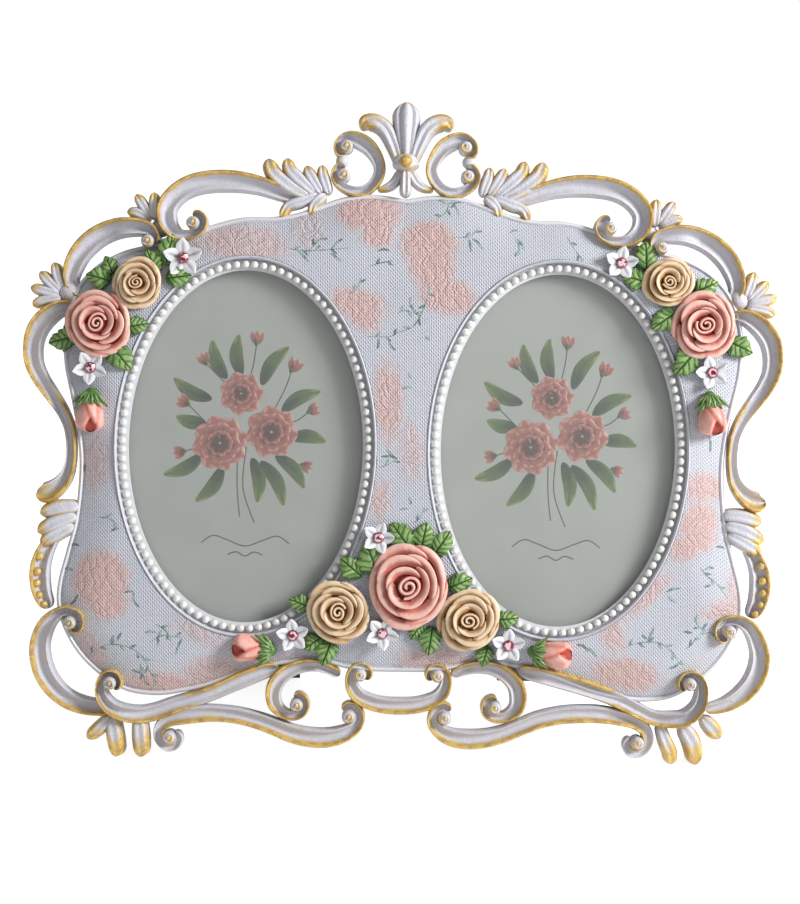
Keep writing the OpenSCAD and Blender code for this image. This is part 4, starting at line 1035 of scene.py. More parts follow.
    def build(self) -> None:
        """Makes all of the scrollwork."""
        self.material = self.finish.make()
        self.finial()
        for side in Side:
            for ribbon in RIBBONS:
                self.scroll(ribbon, side)
            self.leaves(f"crest_leaves_{side.word}", CREST_LOBES, side)
            self.leaves(f"shoulder_fans_{side.word}", FAN_LOBES, side)
            self.leaves(f"side_acanthus_{side.word}", ACANTHUS_LOBES, side)
        for side, lobes in ((Side.LEFT, FOOT_LOBES_LEFT), (Side.RIGHT, FOOT_LOBES_RIGHT)):
            self.leaves(f"foot_leaves_{side.word}", lobes, side, tip=1.0, start=0.1, swell=1.22)
        swag = Shell()
        self.sweep(swag, SWAG, self.ribbon, LAYOUT.ribbon_t, least=self.least, wash=0.6)
        for turn in (1, -1):
            self.eye(swag, (0.105 * turn, 0.1365, 0))
        seat("scrollwork.centre_swag", swag.mesh(), self.material, ["centre_swag"])


def panel_edge() -> Array:
    """The smooth outline of the panel's right half, from its top to its foot."""
    return smooth(PANEL_EDGE, 9) * (LAYOUT.half_w, LAYOUT.knot_h)


def edge_gap(plan: Array) -> Array:
    """Distance of plan points from the panel's outline, in millimetres.

    Args:
        plan: Points as rows of u and v.

    Returns:
        One distance for each point.
    """
    edge = panel_edge()
    p = np.column_stack([np.abs(plan[:, 0]), plan[:, 1]])
    gap = np.full(len(p), np.inf)
    for start, way in zip(edge[:-1], np.diff(edge, axis=0)):
        t = np.clip((p - start) @ way / (way @ way), 0, 1)
        gap = np.minimum(gap, np.linalg.norm(p - start - t[:, None] * way, axis=1))
    return gap


def crown(gap: Array) -> Array:
    """Height of the panel's crowned face by the distance from its outline."""
    rise = np.sin(np.pi / 2 * np.minimum(1, gap / LAYOUT.crown_reach))
    return LAYOUT.edge_t + (LAYOUT.crown_t - LAYOUT.edge_t) * rise


def face_height(plan: Array) -> Array:
    """Height of the panel's crowned face at plan points."""
    return crown(edge_gap(plan))


# Strokes of the printed sprigs: u and v of each point in turn, in millimetres
SPRIGS = (
    (-39, 171.5, -36, 171, -32, 170.8, -26, 171.2, -18, 172), (-32, 171, -30, 173.5, -27.5, 176),
    (-25, 171, -23, 173.5, -21, 175), (-36.5, 171, -34.5, 169.5, -32.5, 167.2), (-25, 170, -23, 168.8, -21, 167),
    (-12, 165.8, -8, 167, -4, 167.8), (-9, 171, -7, 171.6, -5, 171.2), (-18.5, 156.3, -16, 158.2, -14.5, 162),
    (-2, 150, 0, 151, 3, 150.5, 6, 149), (4, 150.5, 2.6, 152.5, 2, 155.5),
    (8.5, 161, 8, 156, 6, 150, 3, 145.5, -2, 143.5), (-12, 142, -8, 142, -4, 142.3, -2, 143.5),
    (-8.5, 141.4, -8.3, 139.8, -8.8, 138), (-5, 141.6, -4.2, 139.4, -2.5, 137.5), (7.5, 142.2, 8.2, 141.8, 9, 141),
    (19, 188.3, 16, 188, 12, 187.5), (15, 188, 13.8, 184.6, 11, 182.5), (16.5, 187.4, 17.8, 185.6, 18.4, 183.6),
    (18, 176, 22, 176.5, 25, 179.5), (21.5, 176, 22.2, 173.6, 22.5, 171), (23, 175.5, 24.8, 174.4, 26.5, 172),
    (37, 177, 38.5, 173.5, 38.8, 170.5), (38, 176, 39.6, 174.4, 40.5, 172), (35.5, 178, 36.8, 178.8, 38.2, 178.8),
    (55, 177, 57, 173.5, 60.5, 168.5), (2, 130, 2.3, 129, 3, 128), (0, 124.5, 1.5, 125.1, 3, 125),
    (-7, 101.5, -4, 101.7, -1.5, 101), (-5, 104, -3.6, 102.2, -1.5, 101), (-7, 98, -4.4, 99, -1.5, 101),
    (2.5, 88, 3.2, 87, 3.5, 85.5), (-0.5, 83.5, 1, 84.1, 2.5, 84), (4, 79, 6.4, 81, 8, 85),
    (-107, 98, -107.6, 96.6, -107.5, 95), (-102, 79.8, -98.5, 79.3, -95.5, 77), (-98, 75, -96.6, 75.8, -95, 76),
    (-112.5, 70, -110.8, 70.4, -109, 70), (-109, 53.5, -110, 51.4, -111.5, 50), (-114, 62, -112.6, 62.2, -111, 61.5),
    (-90, 54.5, -89.5, 51.5, -87.8, 49.5), (-93, 54.4, -91.5, 54.9, -90, 54.8),
    (-106, 32, -103, 34.5, -99, 36.5, -95, 36.8, -91, 35.8, -88, 34.2, -85.5, 31, -84.5, 28),
    (-97, 36.5, -97.2, 38.2, -96.2, 40), (-95, 38, -94.8, 39.4, -93.8, 40.8),
    (-87, 31, -87.4, 28.6, -86.2, 25.4, -86, 22.8), (-85, 29, -83, 25.8, -82, 22.8),
    (-90.5, 28, -89, 27.8, -87.4, 27), (-84, 38, -80, 40, -77, 39.8, -73, 39.5), (-82.5, 44, -79.5, 42.2, -77.5, 40),
    (-86, 41, -84, 41.4, -82, 41), (-82, 40, -81.4, 38.4, -81.6, 36.5), (-73.5, 39, -74.6, 36.5, -75.5, 33.5),
    (104, 110, 104.6, 107.4, 104.5, 104.5), (107, 72.5, 108.6, 72.6, 110, 72),
    (101.5, 65.5, 104, 62.5, 107, 60.5, 111, 55.5), (103, 64.6, 104.6, 65.6, 106.2, 65.2),
    (103, 59, 104.8, 59.6, 106.5, 60.8), (90, 57, 92, 58.1, 95, 58.5), (90.5, 56, 91.8, 54.6, 93.5, 53.8),
    (76, 38, 79, 39.3, 83, 40, 87, 40, 90, 38.8, 93, 36, 95, 32.5), (84, 40, 85, 42.5, 86, 45),
    (82, 42.6, 83, 41.8, 84, 41), (91, 31, 93.6, 32, 96, 34), (97, 38, 99, 39.5, 101, 42.5, 104.5, 43.5, 108, 44),
    (103.5, 44, 101, 46, 99.5, 48.5), (102.5, 43.5, 103, 45.4, 104.2, 46.8), (96, 44, 97.6, 43.6, 99, 43.5),
    (60, 39, 62.4, 38.4, 64, 36.5), (62.5, 38, 65, 37, 67, 35),
)


@dataclass
class Panel:
    """The crowned panel with its edging, its stepped windows, its pockets and its printed pattern."""

    finish: PrintedPanel = field(default_factory=PrintedPanel)
    rows: int = 40
    # Printed sprigs: shortest stem with leaves, half widths of a stem and of a leaf, a leaf's length and its angle
    leafy: float = 6.0
    stem_half: float = 0.17
    leaf_half: float = 0.36
    leaf_l: float = 2.4
    leaf_angle: float = 0.75
    lip_w: float = 9.2
    # The edging's bead and groove: height, distance from the edge, spread
    edging: tuple = ((0.6, 0.85, 0.55), (-0.45, 1.8, 0.3))
    # The soft corner at the very edge: how far the face drops there, and over what distance
    edge_drop: float = 0.7
    drop_reach: float = 0.2
    white_ends: tuple = (1.4, 1.7)
    # Distances from an edge where the skin has points, close enough for the bead
    near: tuple = (0.35, 0.7, 1.05, 1.35, 1.6, 1.9, 2.4)
    # Soft parts of the rose patches of the print: u, v, two half axes, turn, strength
    patches: tuple = (
        (-12, 184.5, 11, 6.5, 0, 1), (-9, 177, 5.5, 5, 0, 1), (8, 173.5, 9.5, 8, 0, 1), (9.5, 166, 7.5, 7, 0, 1),
        (15, 156, 9.5, 6, -10, 1), (-16, 153.5, 9.5, 4.5, -8, 1), (-13.5, 149, 6, 4.5, -30, 1),
        (-33, 178, 5, 7, 0, 0.35), (-54, 173, 14, 6, -3, 0.7), (-76, 169, 8, 4, 25, 0.5), (-88, 160, 8, 4, 40, 0.6),
        (-4.8, 120, 4.8, 12.5, 2, 0.95), (3.4, 103.5, 3.9, 9, 4, 0.6), (-7, 87, 3.2, 5.5, -5, 0.8),
        (-104, 98, 4.5, 9, 0, 0.6), (-101, 58.5, 9.5, 10, 0, 1), (-98.5, 50.5, 6.5, 5.5, 20, 1),
        (-80, 23.5, 12, 4, -3, 1), (-64, 27, 9, 6, 10, 0.75), (-67, 41, 9, 3.5, -25, 0.5),
        (-104, 35, 8, 3.2, -52, 0.8), (102.5, 92.5, 7, 5, 0, 0.9), (101, 79, 6.5, 8.5, 0, 1), (96.5, 72, 6, 4, 15, 1),
        (83, 55.5, 10, 3, 44, 0.9), (72, 43, 4, 7, 15, 0.8), (77, 29, 11, 5.5, -8, 1), (110, 51.5, 8, 3, 12, 0.8),
        (113.5, 58, 3, 6, 0, 0.6), (12, 33, 12, 4.5, 0, 0.8), (-36, 31, 9, 3.5, 0, 0.4),
    )

    def meet(self, p: Array, a: float, b: float) -> Array:
        """Finds where the ways from points to a window's middle cross an oval round it.

        Args:
            p: Points as rows of u and v.
            a: Half the oval's width.
            b: Half its height.

        Returns:
            The places on the oval.
        """
        middle = Side.RIGHT.middle
        q = p - middle
        return middle + q / np.hypot(q[:, 0] / a, q[:, 1] / b)[:, None]

    def outline(self) -> Array:
        """Draws the right half's round: its edge and then the seam up the middle.

        Returns:
            Rows of u and v.
        """
        edge = panel_edge()
        top, foot = edge[0][1], edge[-1][1]
        near = np.array([*self.near, 3.2, 4.5])
        seam = np.concatenate([foot + near, np.linspace(foot + 6, top - 6, 90), (top - near)[::-1]])
        return np.vstack([edge, np.column_stack([np.zeros(len(seam)), seam])])

    def relief(self, plan: Array) -> tuple[Array, Array]:
        """Height of the face with its edging bead, and how much of the edging's white shows.

        Args:
            plan: Points as rows of u and v.

        Returns:
            The heights and the shares of white.
        """
        gap = edge_gap(plan)
        bead = sum(high * np.exp(-((gap - at) / spread) ** 2) for high, at, spread in self.edging)
        return crown(gap) + (bead - self.edge_drop * (gap < self.drop_reach)), 1 - ramp(gap, *self.white_ends)

    def pattern(self, plan: Array) -> tuple[Array, Array]:
        """The print of the rose patches at plan points.

        Args:
            plan: Points as rows of u and v.

        Returns:
            How far inside a patch the points are, 0.5 at its edge, and how strongly it is printed.
        """
        depth, strength = np.zeros(len(plan)), np.zeros(len(plan))
        for u, v, wide, high, turn, power in self.patches:
            t = math.radians(turn)
            d = (plan - (u, v)) @ np.array([[math.cos(t), -math.sin(t)], [math.sin(t), math.cos(t)]])
            inside = np.clip(0.5 + (1 - np.hypot(d[:, 0] / wide, d[:, 1] / high)) * min(wide, high) / 6, 0, 1)
            strength = np.where(inside > depth, power, strength)
            depth = np.maximum(depth, inside)
        return depth, strength

    def sprig(self, shell: Shell, path: Rows) -> None:
        """Prints one stroke of a sprig: a stem with small leaves, or a single leaf where it is short.

        Args:
            shell: Where the skin goes.
            path: Rows of u and v.
        """
        p = smooth(path, 6)
        long = np.linalg.norm(np.diff(p, axis=0), axis=1).sum() > self.leafy
        s = np.linspace(0, 1, len(p))
        half = self.stem_half if long else self.leaf_half
        shell.stroke(p, half * (0.2 + np.sin(math.pi * (0.04 + 0.9 * s))), face_height)
        if not long:
            return
        for k in range(4, len(p) - 2, 5):
            way = p[k + 1] - p[k - 1]
            way = way / np.linalg.norm(way) * self.leaf_l
            tip = p[k] + turned(*way, self.leaf_angle * (-1) ** k)
            self.sprig(shell, (p[k], (p[k] + tip) / 2, tip))

    def half(self, shell: Shell, turn: int) -> None:
        """Skins one half of the panel.

        Args:
            shell: Where the skin goes.
            turn: 1 for the right half, -1 for the left.
        """
        p = self.outline()
        n = len(p)
        step = self.meet(p, LAYOUT.step_a, LAYOUT.step_b)
        sight = self.meet(p, LAYOUT.sight_a, LAYOUT.sight_b)
        pocket = self.meet(p, LAYOUT.pocket_a, LAYOUT.pocket_b)
        length = np.linalg.norm(p - step, axis=1)
        near = np.array([0, *self.near])
        far = np.linspace(0, 1, self.rows + 1)[1:]
        reach = np.concatenate([np.outer(near, np.ones(n)), near[-1] + np.outer(far, length - near[-1])])
        spots = step[None] + (p - step)[None] * (1 - reach / length)[..., None]
        flat = spots.reshape(-1, 2)
        w, white = self.relief(flat)
        pink, fold = self.pattern(flat * (turn, 1))
        front = np.column_stack([flat, w]).reshape(len(reach), n, 3)
        front[-1, :, 2] = np.maximum(front[-1, :, 2], self.lip_w)
        levels = (
            (step, LAYOUT.seat_w), (sight, LAYOUT.seat_w), (sight, LAYOUT.pocket_d), (pocket, LAYOUT.pocket_d),
            (pocket, 0.0), (p, 0.0),
        )
        walls = np.stack([np.column_stack([q, np.full(n, z)]) for q, z in levels])
        rings = np.concatenate([front, walls]).transpose(1, 0, 2)
        rings[..., 0] *= turn
        pad = ((0, len(levels)), (0, 0))
        paint_of = {
            "gild": np.pad(white.reshape(len(reach), n), pad, constant_values=1).T,
            "tint": np.pad(pink.reshape(len(reach), n), pad).T,
            "fold": np.pad(fold.reshape(len(reach), n), pad).T,
        }
        shell.loft(rings, loop=True, **paint_of)

    def build(self) -> None:
        """Makes the panel and prints its sprigs."""
        shell = Shell()
        for turn in (1, -1):
            self.half(shell, turn)
        panel = seat("panel.printed_face", shell.mesh(), self.finish.make(), ["front_panel"], sharp=40)
        with mending(panel.data) as bm:
            inner = [f for f in bm.faces if all(abs(v.co.x) < SLIVER for v in f.verts)]
            bmesh.ops.delete(bm, geom=inner, context="FACES")
        sprigs = Shell()
        for path in SPRIGS:
            self.sprig(sprigs, np.reshape(path, (-1, 2)))
        seat("panel.printed_sprigs", sprigs.mesh(), self.finish.make_sprig(), sharp=80)


@dataclass
class OvalWindow:
    """The rim and the ring of pearls round one window."""

    pearl_d: float = 2.6
    pearl_count: int = 107
    inset: float = 1.9
    sink: float = 0.08
    rim_top: float = 10.8
    rim_foot: float = 1.35
    # The rim's section: inset from the step's wall, depth under its top
    rim_rows: tuple = ((0, 1.1), (0.12, 0.6), (0.32, 0.2), (0.6, 0), (0.88, 0.15), (1.08, 0.6), (1.2, 1.3))
    rim: PlainFinish = PlainFinish("rim enamel", paint(198, 200, 208), 0.4, 300.0, 0.00015, spread=0.06)
    pearl: PlainFinish = PlainFinish("pearl lustre", paint(229, 229, 225), 0.2, 500.0, 0.00002, coat=0.6, spread=0.03)

    def rim_piece(self, side: Side, material: Material) -> None:
        """Makes the smooth rim.

        Args:
            side: The window's side.
            material: The rim's enamel.
        """
        low = LAYOUT.seat_w
        section = ((0, low), *((inset, self.rim_top - depth) for inset, depth in self.rim_rows), (self.rim_foot, low))
        rows = [oval(side.middle, LAYOUT.step_a - inset, LAYOUT.step_b - inset, w, 240) for inset, w in section]
        shell = Shell()
        shell.loft(np.stack(rows, axis=1), loop=True)
        seat(f"window.rim_{side.word}", shell.mesh(), material, [f"oval_rim_{side.word}"])

    def pearl_tree(self, material: Material) -> bpy.types.NodeTree:
        """Builds the tree that strings pearls along the oval.

        Args:
            material: The pearls' finish.

        Returns:
            The tree.
        """
        tree = bpy.data.node_groups.new("pearl string", "GeometryNodeTree")
        face = tree.interface
        face.new_socket("Geometry", in_out="OUTPUT", socket_type="NodeSocketGeometry")
        for name, kind in (("Half width", "Float"), ("Half height", "Float"), ("Diameter", "Float"), ("Count", "Int")):
            face.new_socket(name, in_out="INPUT", socket_type=f"NodeSocket{kind}")
        n = {k: tree.nodes.new(t) for k, t in {
            "in": "NodeGroupInput", "out": "NodeGroupOutput", "circle": "GeometryNodeCurvePrimitiveCircle",
            "size": "ShaderNodeCombineXYZ", "oval": "GeometryNodeTransform", "even": "GeometryNodeResampleCurve",
            "points": "GeometryNodeCurveToPoints", "pearl": "GeometryNodeMeshUVSphere", "half": "ShaderNodeMath",
            "smooth": "GeometryNodeSetShadeSmooth", "string": "GeometryNodeInstanceOnPoints",
            "real": "GeometryNodeRealizeInstances", "dress": "GeometryNodeSetMaterial"}.items()}
        n["circle"].inputs["Resolution"].default_value = 512
        n["size"].inputs[2].default_value = 1
        n["half"].operation = "MULTIPLY"
        n["half"].inputs[1].default_value = 0.5
        n["pearl"].inputs["Segments"].default_value = 16
        n["pearl"].inputs["Rings"].default_value = 10
        n["points"].mode = "COUNT"
        n["dress"].inputs["Material"].default_value = material
        links = (
            ("in", "Half width", "size", 0), ("in", "Half height", "size", 1), ("circle", "Curve", "oval", "Geometry"),
            ("size", 0, "oval", "Scale"), ("in", "Count", "even", "Count"), ("oval", 0, "even", "Curve"),
            ("in", "Diameter", "half", 0), ("half", 0, "pearl", "Radius"), ("pearl", "Mesh", "smooth", "Geometry"),
            ("even", 0, "points", "Curve"), ("in", "Count", "points", "Count"), ("smooth", 0, "string", "Instance"),
            ("points", "Points", "string", "Points"), ("string", 0, "real", 0), ("real", 0, "dress", "Geometry"),
            ("dress", 0, "out", 0),
        )
        for a, out, b, into in links:
            tree.links.new(n[a].outputs[out], n[b].inputs[into])
        return tree

    def pearls(self, side: Side, tree: bpy.types.NodeTree, material: Material) -> None:
        """Strings the pearls of one window.

        Args:
            side: The window's side.
            tree: The pearl string's tree.
            material: The pearls' finish.
        """
        sizes = {
            "Half width": LAYOUT.sight_a + self.inset, "Half height": LAYOUT.sight_b + self.inset,
            "Diameter": self.pearl_d, "Count": self.pearl_count,
        }
        mesh = grow(tree, sizes)
        middle = (*side.middle, LAYOUT.seat_w + (1 - self.sink) * self.pearl_d / 2)
        mesh.transform(LAYOUT.matrix() @ Matrix.Translation(middle))
        seat(f"window.pearls_{side.word}", mesh, material, [f"pearls_{side.word}"], sharp=80)

    def build(self) -> None:
        """Makes the rims and pearls of both windows."""
        rim, pearl = self.rim.make(), self.pearl.make()
        tree = self.pearl_tree(pearl)
        for side in Side:
            self.rim_piece(side, rim)
            self.pearls(side, tree, pearl)


def grow(tree: bpy.types.NodeTree, sizes: dict[str, float]) -> bpy.types.Mesh:
    """Runs a tree on an empty mesh and returns what it makes as a plain mesh.

    Args:
        tree: The node tree.
        sizes: Values for its named inputs.

    Returns:
        The finished mesh.
    """
    holder = bpy.data.objects.new("holder", bpy.data.meshes.new("holder"))
    bpy.context.scene.collection.objects.link(holder)
    maker = holder.modifiers.new("maker", "NODES")
    maker.node_group = tree
    for item in tree.interface.items_tree:
        if item.in_out == "INPUT" and item.name in sizes:
            maker[item.identifier] = sizes[item.name]
    bpy.context.view_layer.update()
    graph = bpy.context.evaluated_depsgraph_get()
    mesh = bpy.data.meshes.new_from_object(holder.evaluated_get(graph), depsgraph=graph)
    holder.modifiers.remove(maker)
    bpy.data.objects.remove(holder)
    return mesh


# Places of the flowers: shares of the half width and of the knot's height, size, turn
PINK_PLACES = ((-0.824, 0.725, 11, 20), (0.812, 0.7365, 11, 160), (0.0224, 0.29, 13.8, 250))
CREAM_PLACES = (
    (-0.72, 0.795, 8.4, 80), (0.7128, 0.8085, 8.4, 200), (-0.1656, 0.245, 10.4, 30), (0.1864, 0.234, 10.4, 300),
)
BUD_PLACES = ((-0.84, 0.61, -92), (0.828, 0.618, -82), (-0.344, 0.178, 176), (0.36, 0.182, -6))
LEAF_PLACES = (
    (-0.645, 0.826, 78, 1.1), (-0.67, 0.811, 112, 0.9), (-0.645, 0.803, 8, 0.9), (-0.793, 0.798, 165, 0.9),
    (-0.787, 0.81, 115, 0.7), (-0.885, 0.705, 195, 1), (-0.75, 0.72, 10, 0.8), (-0.79, 0.69, -50, 1.1),
    (0.654, 0.829, 92, 1), (0.671, 0.808, 65, 0.8), (0.655, 0.808, 165, 0.9), (0.785, 0.792, 25, 0.9),
    (0.735, 0.758, 215, 1), (0.875, 0.712, -25, 1), (0.79, 0.694, 230, 1.1), (0.027, 0.35, 125, 1.15),
    (0.054, 0.35, 78, 1), (0.089, 0.343, 55, 1), (-0.058, 0.306, 112, 1.3), (-0.102, 0.304, 140, 1),
    (0.13, 0.288, 22, 0.9), (-0.24, 0.252, 160, 0.8), (-0.183, 0.197, 250, 0.95), (-0.207, 0.203, 215, 0.8),
    (0.089, 0.222, 262, 1), (0.061, 0.228, 235, 0.7), (0.26, 0.235, 5, 0.8), (0.24, 0.19, 255, 0.75),
)
BLOSSOM_PLACES = (
    (-0.598, 0.8385, 1.15, 20), (-0.844, 0.651, 1, 50), (0.586, 0.84, 0.98, 10), (0.834, 0.657, 0.97, 35),
    (-0.06, 0.371, 0.95, 0), (-0.287, 0.204, 0.97, 25), (-0.046, 0.2095, 0.97, 60), (0.295, 0.1915, 1, 15),
)


@dataclass
class Flowers:
    """Modelled roses, buds, leaves and blossoms with their stones."""

    rose_t: float = 9.0
    rose_sink: float = 1.0
    bud_sink: float = 0.5
    full_r: float = 13.8
    bud_l: float = 13.5
    bud_w: float = 9.4
    leaf_l: float = 9.9
    blossom_r: float = 5.8
    blossom_t: float = 3.2
    blossom_lift: float = 0.8
    stone_r: float = 1.9
    facets: int = 10
    # Rings of the stone: share of its radius, height, glint
    stone_rows: tuple = ((1.0, 0.0, 0), (1.05, 0.9, 0), (0.95, 1.35, 0.3), (0.6, 1.9, 1.0))
    petal_t: float = 0.7
    # Rings of petals from the outside in: count, inner reach, outer reach, foot, lip height, span in degrees, roll,
    # share of the way out that the next ring hides, where the petal's painted shade fades out
    petals: tuple = (
        (5, 0.48, 1.0, 0.24, 0.6, 104, 0.16, 0.46), (4, 0.34, 0.77, 0.46, 0.82, 122, 0.09, 0.34),
        (3, 0.22, 0.51, 0.64, 0.96, 156, 0.05, 0.3),
    )
    pink: FoldedPaint = FoldedPaint("pink rose", paint(236, 190, 176), paint(208, 126, 112), paint(122, 42, 36))
    cream: FoldedPaint = FoldedPaint("cream rose", paint(230, 206, 172), paint(194, 150, 104), paint(110, 64, 32))
    bud: FoldedPaint = FoldedPaint("rosebud", paint(240, 192, 180), paint(226, 148, 134), paint(168, 58, 40))
    leaf: FoldedPaint = FoldedPaint("rose leaf", paint(150, 176, 108), paint(84, 124, 58), paint(28, 54, 26))
    white: FoldedPaint = FoldedPaint(
        "blossom enamel", paint(232, 232, 235), paint(206, 206, 214), paint(128, 128, 142), 0.35
    )

    def onto(self, rings: Array, place: Row, turn: float, sink: float) -> Array:
        """Turns local rings and sets them on the panel's face.

        Args:
            rings: Points in the piece's own millimetres.
            place: Shares of the place on the panel.
            turn: Turn in degrees.
            sink: How deep the piece is let into the face.

        Returns:
            The rings on the plan.
        """
        u, v = place[0] * LAYOUT.half_w, place[1] * LAYOUT.knot_h
        x, y = turned(rings[..., 0], rings[..., 1], math.radians(turn))
        return np.stack([u + x, v + y, rings[..., 2] + face_height(np.array([[u, v]]))[0] - sink], axis=-1)

    def petal(self, r: float, t: float, start: float, ring: Row, seed: float) -> tuple[Array, Array]:
        """One curved petal as rings across its width.

        Args:
            r: The rose's radius.
            t: The rose's height.
            start: The petal's middle angle in degrees.
            ring: The petal ring's row.
            seed: Changes the petal's waves.

        Returns:
            The rings, and the painted shade at each point: dark where the next ring covers the petal, at its sides and
            on its underside.
        """
        _, inner, outer, foot, lip, span, roll, hidden = ring
        s = np.linspace(-1, 1, 19)
        q = np.linspace(0, 1, 13)
        side, rise = np.meshgrid(s, q, indexing="ij")
        along = rise * (1 - 0.05 * np.abs(side) - 0.17 * np.abs(side) ** 3.5)
        bend = ramp(along, 0.66, 1.0)
        swell = 1 + 0.05 * np.sin(2.6 * side + seed) * rise + 0.02 * math.sin(7 * seed)
        reach = r * (inner + (outer - inner) * along**0.85) * swell + 0.055 * r * side
        z = t * (foot + (lip - foot) * along**1.25 - roll * bend**2 + 0.02 * np.sin(4 * side + 2 * seed) * rise)
        angle = np.radians(start + 5 * math.sin(5 * seed) + side * span / 2 * (0.6 + 0.4 * rise))
        out, up = np.gradient(reach, axis=1), np.gradient(z, axis=1)
        run = np.hypot(out, up) + 1e-9
        half = self.petal_t / 2 * (1.1 - 0.35 * rise) * np.sqrt(1.02 - side**6)
        skins = [(reach - k * half * up / run, z + k * half * out / run) for k in (1, -1)]
        tip = ((reach + half * out / run)[:, -1:], (z + half * up / run)[:, -1:])
        rho, high = (np.concatenate([skins[0][i], tip[i], skins[1][i][:, ::-1]], axis=1) for i in (0, 1))
        turn = np.concatenate([angle, angle[:, -1:], angle[:, ::-1]], axis=1)
        skin = np.stack([rho * np.cos(turn), rho * np.sin(turn), high], axis=-1)
        # Painted shade: darker where petals overlap at their sides, where the next ring covers them, and on their
        # undersides
        overlap_shade = 0.3 * np.abs(side) ** 8 * rise
        upper_face_shade = 0.7 * (1 - ramp(along, hidden, hidden + 0.17)) + 0.42 * (1 - ramp(along, hidden, 0.95)) + overlap_shade
        under = np.clip(0.75 - along * 0.7, 0.1, 1) + overlap_shade
        return skin, np.clip(np.concatenate([upper_face_shade, 0 * upper_face_shade[:, -1:], under[:, ::-1]], axis=1), 0, 1)

    def heart(self, r: float, t: float) -> tuple[Array, Array]:
        """The rolled middle of a rose as one wound strip.

        Args:
            r: The rose's radius.
            t: The rose's height.

        Returns:
            The strip's rings, and the painted shade at each point, darkest low on the strip's sides between its turns.
        """
        turns = np.linspace(0, 2.0, 80)
        a = turns * 2 * math.pi
        reach = r * (0.285 - 0.122 * turns) * (1 + 0.12 * np.cos(2 * a + r) * (1 - turns / 2.4))
        top = t * (0.97 + 0.02 * np.sin(a * 1.5) + 0.02 * turns)
        wall = r * 0.05
        section = np.array([
            (1, 0.4, 1), (1.05, 0.84, 0.8), (0.92, 0.93, 0.35), (0.62, 0.98, 0.05), (0.1, 1, 0), (-0.5, 0.97, 0.12),
            (-0.88, 0.91, 0.5), (-1, 0.84, 0.9), (-1, 0.4, 1),
        ])
        rho = reach[:, None] + section[:, 0][None] * wall
        rings = np.stack([rho * np.cos(a)[:, None], rho * np.sin(a)[:, None], np.outer(top, section[:, 1])], axis=-1)
        return rings, np.broadcast_to(section[:, 2], rho.shape)

    def rose(self, shell: Shell, place: Row) -> None:
        """Adds one rose.

        Args:
            shell: Where the skins go.
            place: The rose's row.
        """
        r, turn = place[2], place[3]
        t = self.rose_t * (0.5 + 0.5 * r / self.full_r)
        # A dome under the petals, all in painted shade, darkens the gaps between them
        dome = [oval((0, 0), r * q, r * q, t * (0.8 - 0.72 * q**1.5), 40) for q in (0.08, 0.3, 0.55, 0.75, 0.9)]
        dome.append(oval((0, 0), r * 0.9, r * 0.9, -0.5, 40))
        shell.loft(self.onto(np.array(dome), place, turn, self.rose_sink), fold=1.0)
        start = 0.0
        for number, ring in enumerate(self.petals):
            for k in range(ring[0]):
                middle = start + 360 / ring[0] * k
                skin, fold = self.petal(r, t, middle, ring, number * 1.7 + k * 2.3 + r)
                shell.loft(self.onto(skin, place, turn, self.rose_sink), fold=fold)
            start += 180 / ring[0] + 13
        rings, fold = self.heart(r, t)
        shell.loft(self.onto(rings, place, turn, self.rose_sink), fold=fold)

    def rosebud(self, shell: Shell, sepals: Shell, place: Row) -> None:
        """Adds one bud and its sepals.

        Args:
            shell: Where the bud's skins go.
            sepals: Where the sepals' skins go.
            place: The bud's row.
        """
        l, w = self.bud_l, self.bud_w
        x = np.linspace(0.0, 1.0, 34)[:, None]
        a = circle(48)[None]
        close = np.clip(np.minimum(x / 0.14, 1) * (1 - ((x - 0.78) / 0.22).clip(0) ** 2), 0.004, 1)
        half = w / 2 * (0.62 + 0.4 * ramp(x, 0.05, 0.7)) * np.sqrt(close) * (1 + 0.05 * np.cos(3 * a + 5 * x))
        mouth = ramp(x - 0.6 - 0.62 * np.abs(np.cos(a) - 0.1), 0, 0.1) * (np.sin(a) > 0)
        seam = np.exp(-(((a - 2.5 + 1.7 * x) / 0.15) ** 2)) + 0.7 * np.exp(-(((a - 0.5 - 0.6 * x) / 0.13) ** 2))
        rings = np.stack([
            x * l * np.ones_like(a), half * np.cos(a),
            np.maximum(w * 0.3 + half * 1.1 * np.sin(a) - 1.5 * mouth - 0.4 * seam, -0.4),
        ], axis=-1)
        # Painted shade in the bud's open mouth, along its seams and towards its base
        fold = np.clip(0.12 + 0.25 * ramp(1 - x, 0.5, 1) + 0.95 * mouth + 0.6 * seam, 0, 1)
        shell.loft(self.onto(rings, place, place[2], self.bud_sink), fold=fold)
        knob = self.onto(np.array([[[0.6, 0.0, w * 0.28]]]), place, place[2], self.bud_sink)[0, 0]
        sepals.ball(knob, w * 0.24, fold=0.4)
        for spread, length in ((-78, 0.4), (-46, 0.5), (-20, 0.36), (8, 0.46), (36, 0.38), (64, 0.46)):
            t = math.radians(spread)
            q = np.linspace(0, 1, 12)
            wide = 0.85 * np.sin(math.pi * (0.2 + 0.78 * q)) * (1 + 0.15 * np.cos(20 * q)) + 0.04
            ux, uy = q * l * length * math.cos(t * 0.6), (0.12 * w + q * l * length * 0.8) * math.sin(t) * 1.1
            lift = w * 0.42 + w * 0.3 * np.sin(math.pi * np.minimum(1, q * 0.7 + 0.15)) * math.cos(t * 0.9)
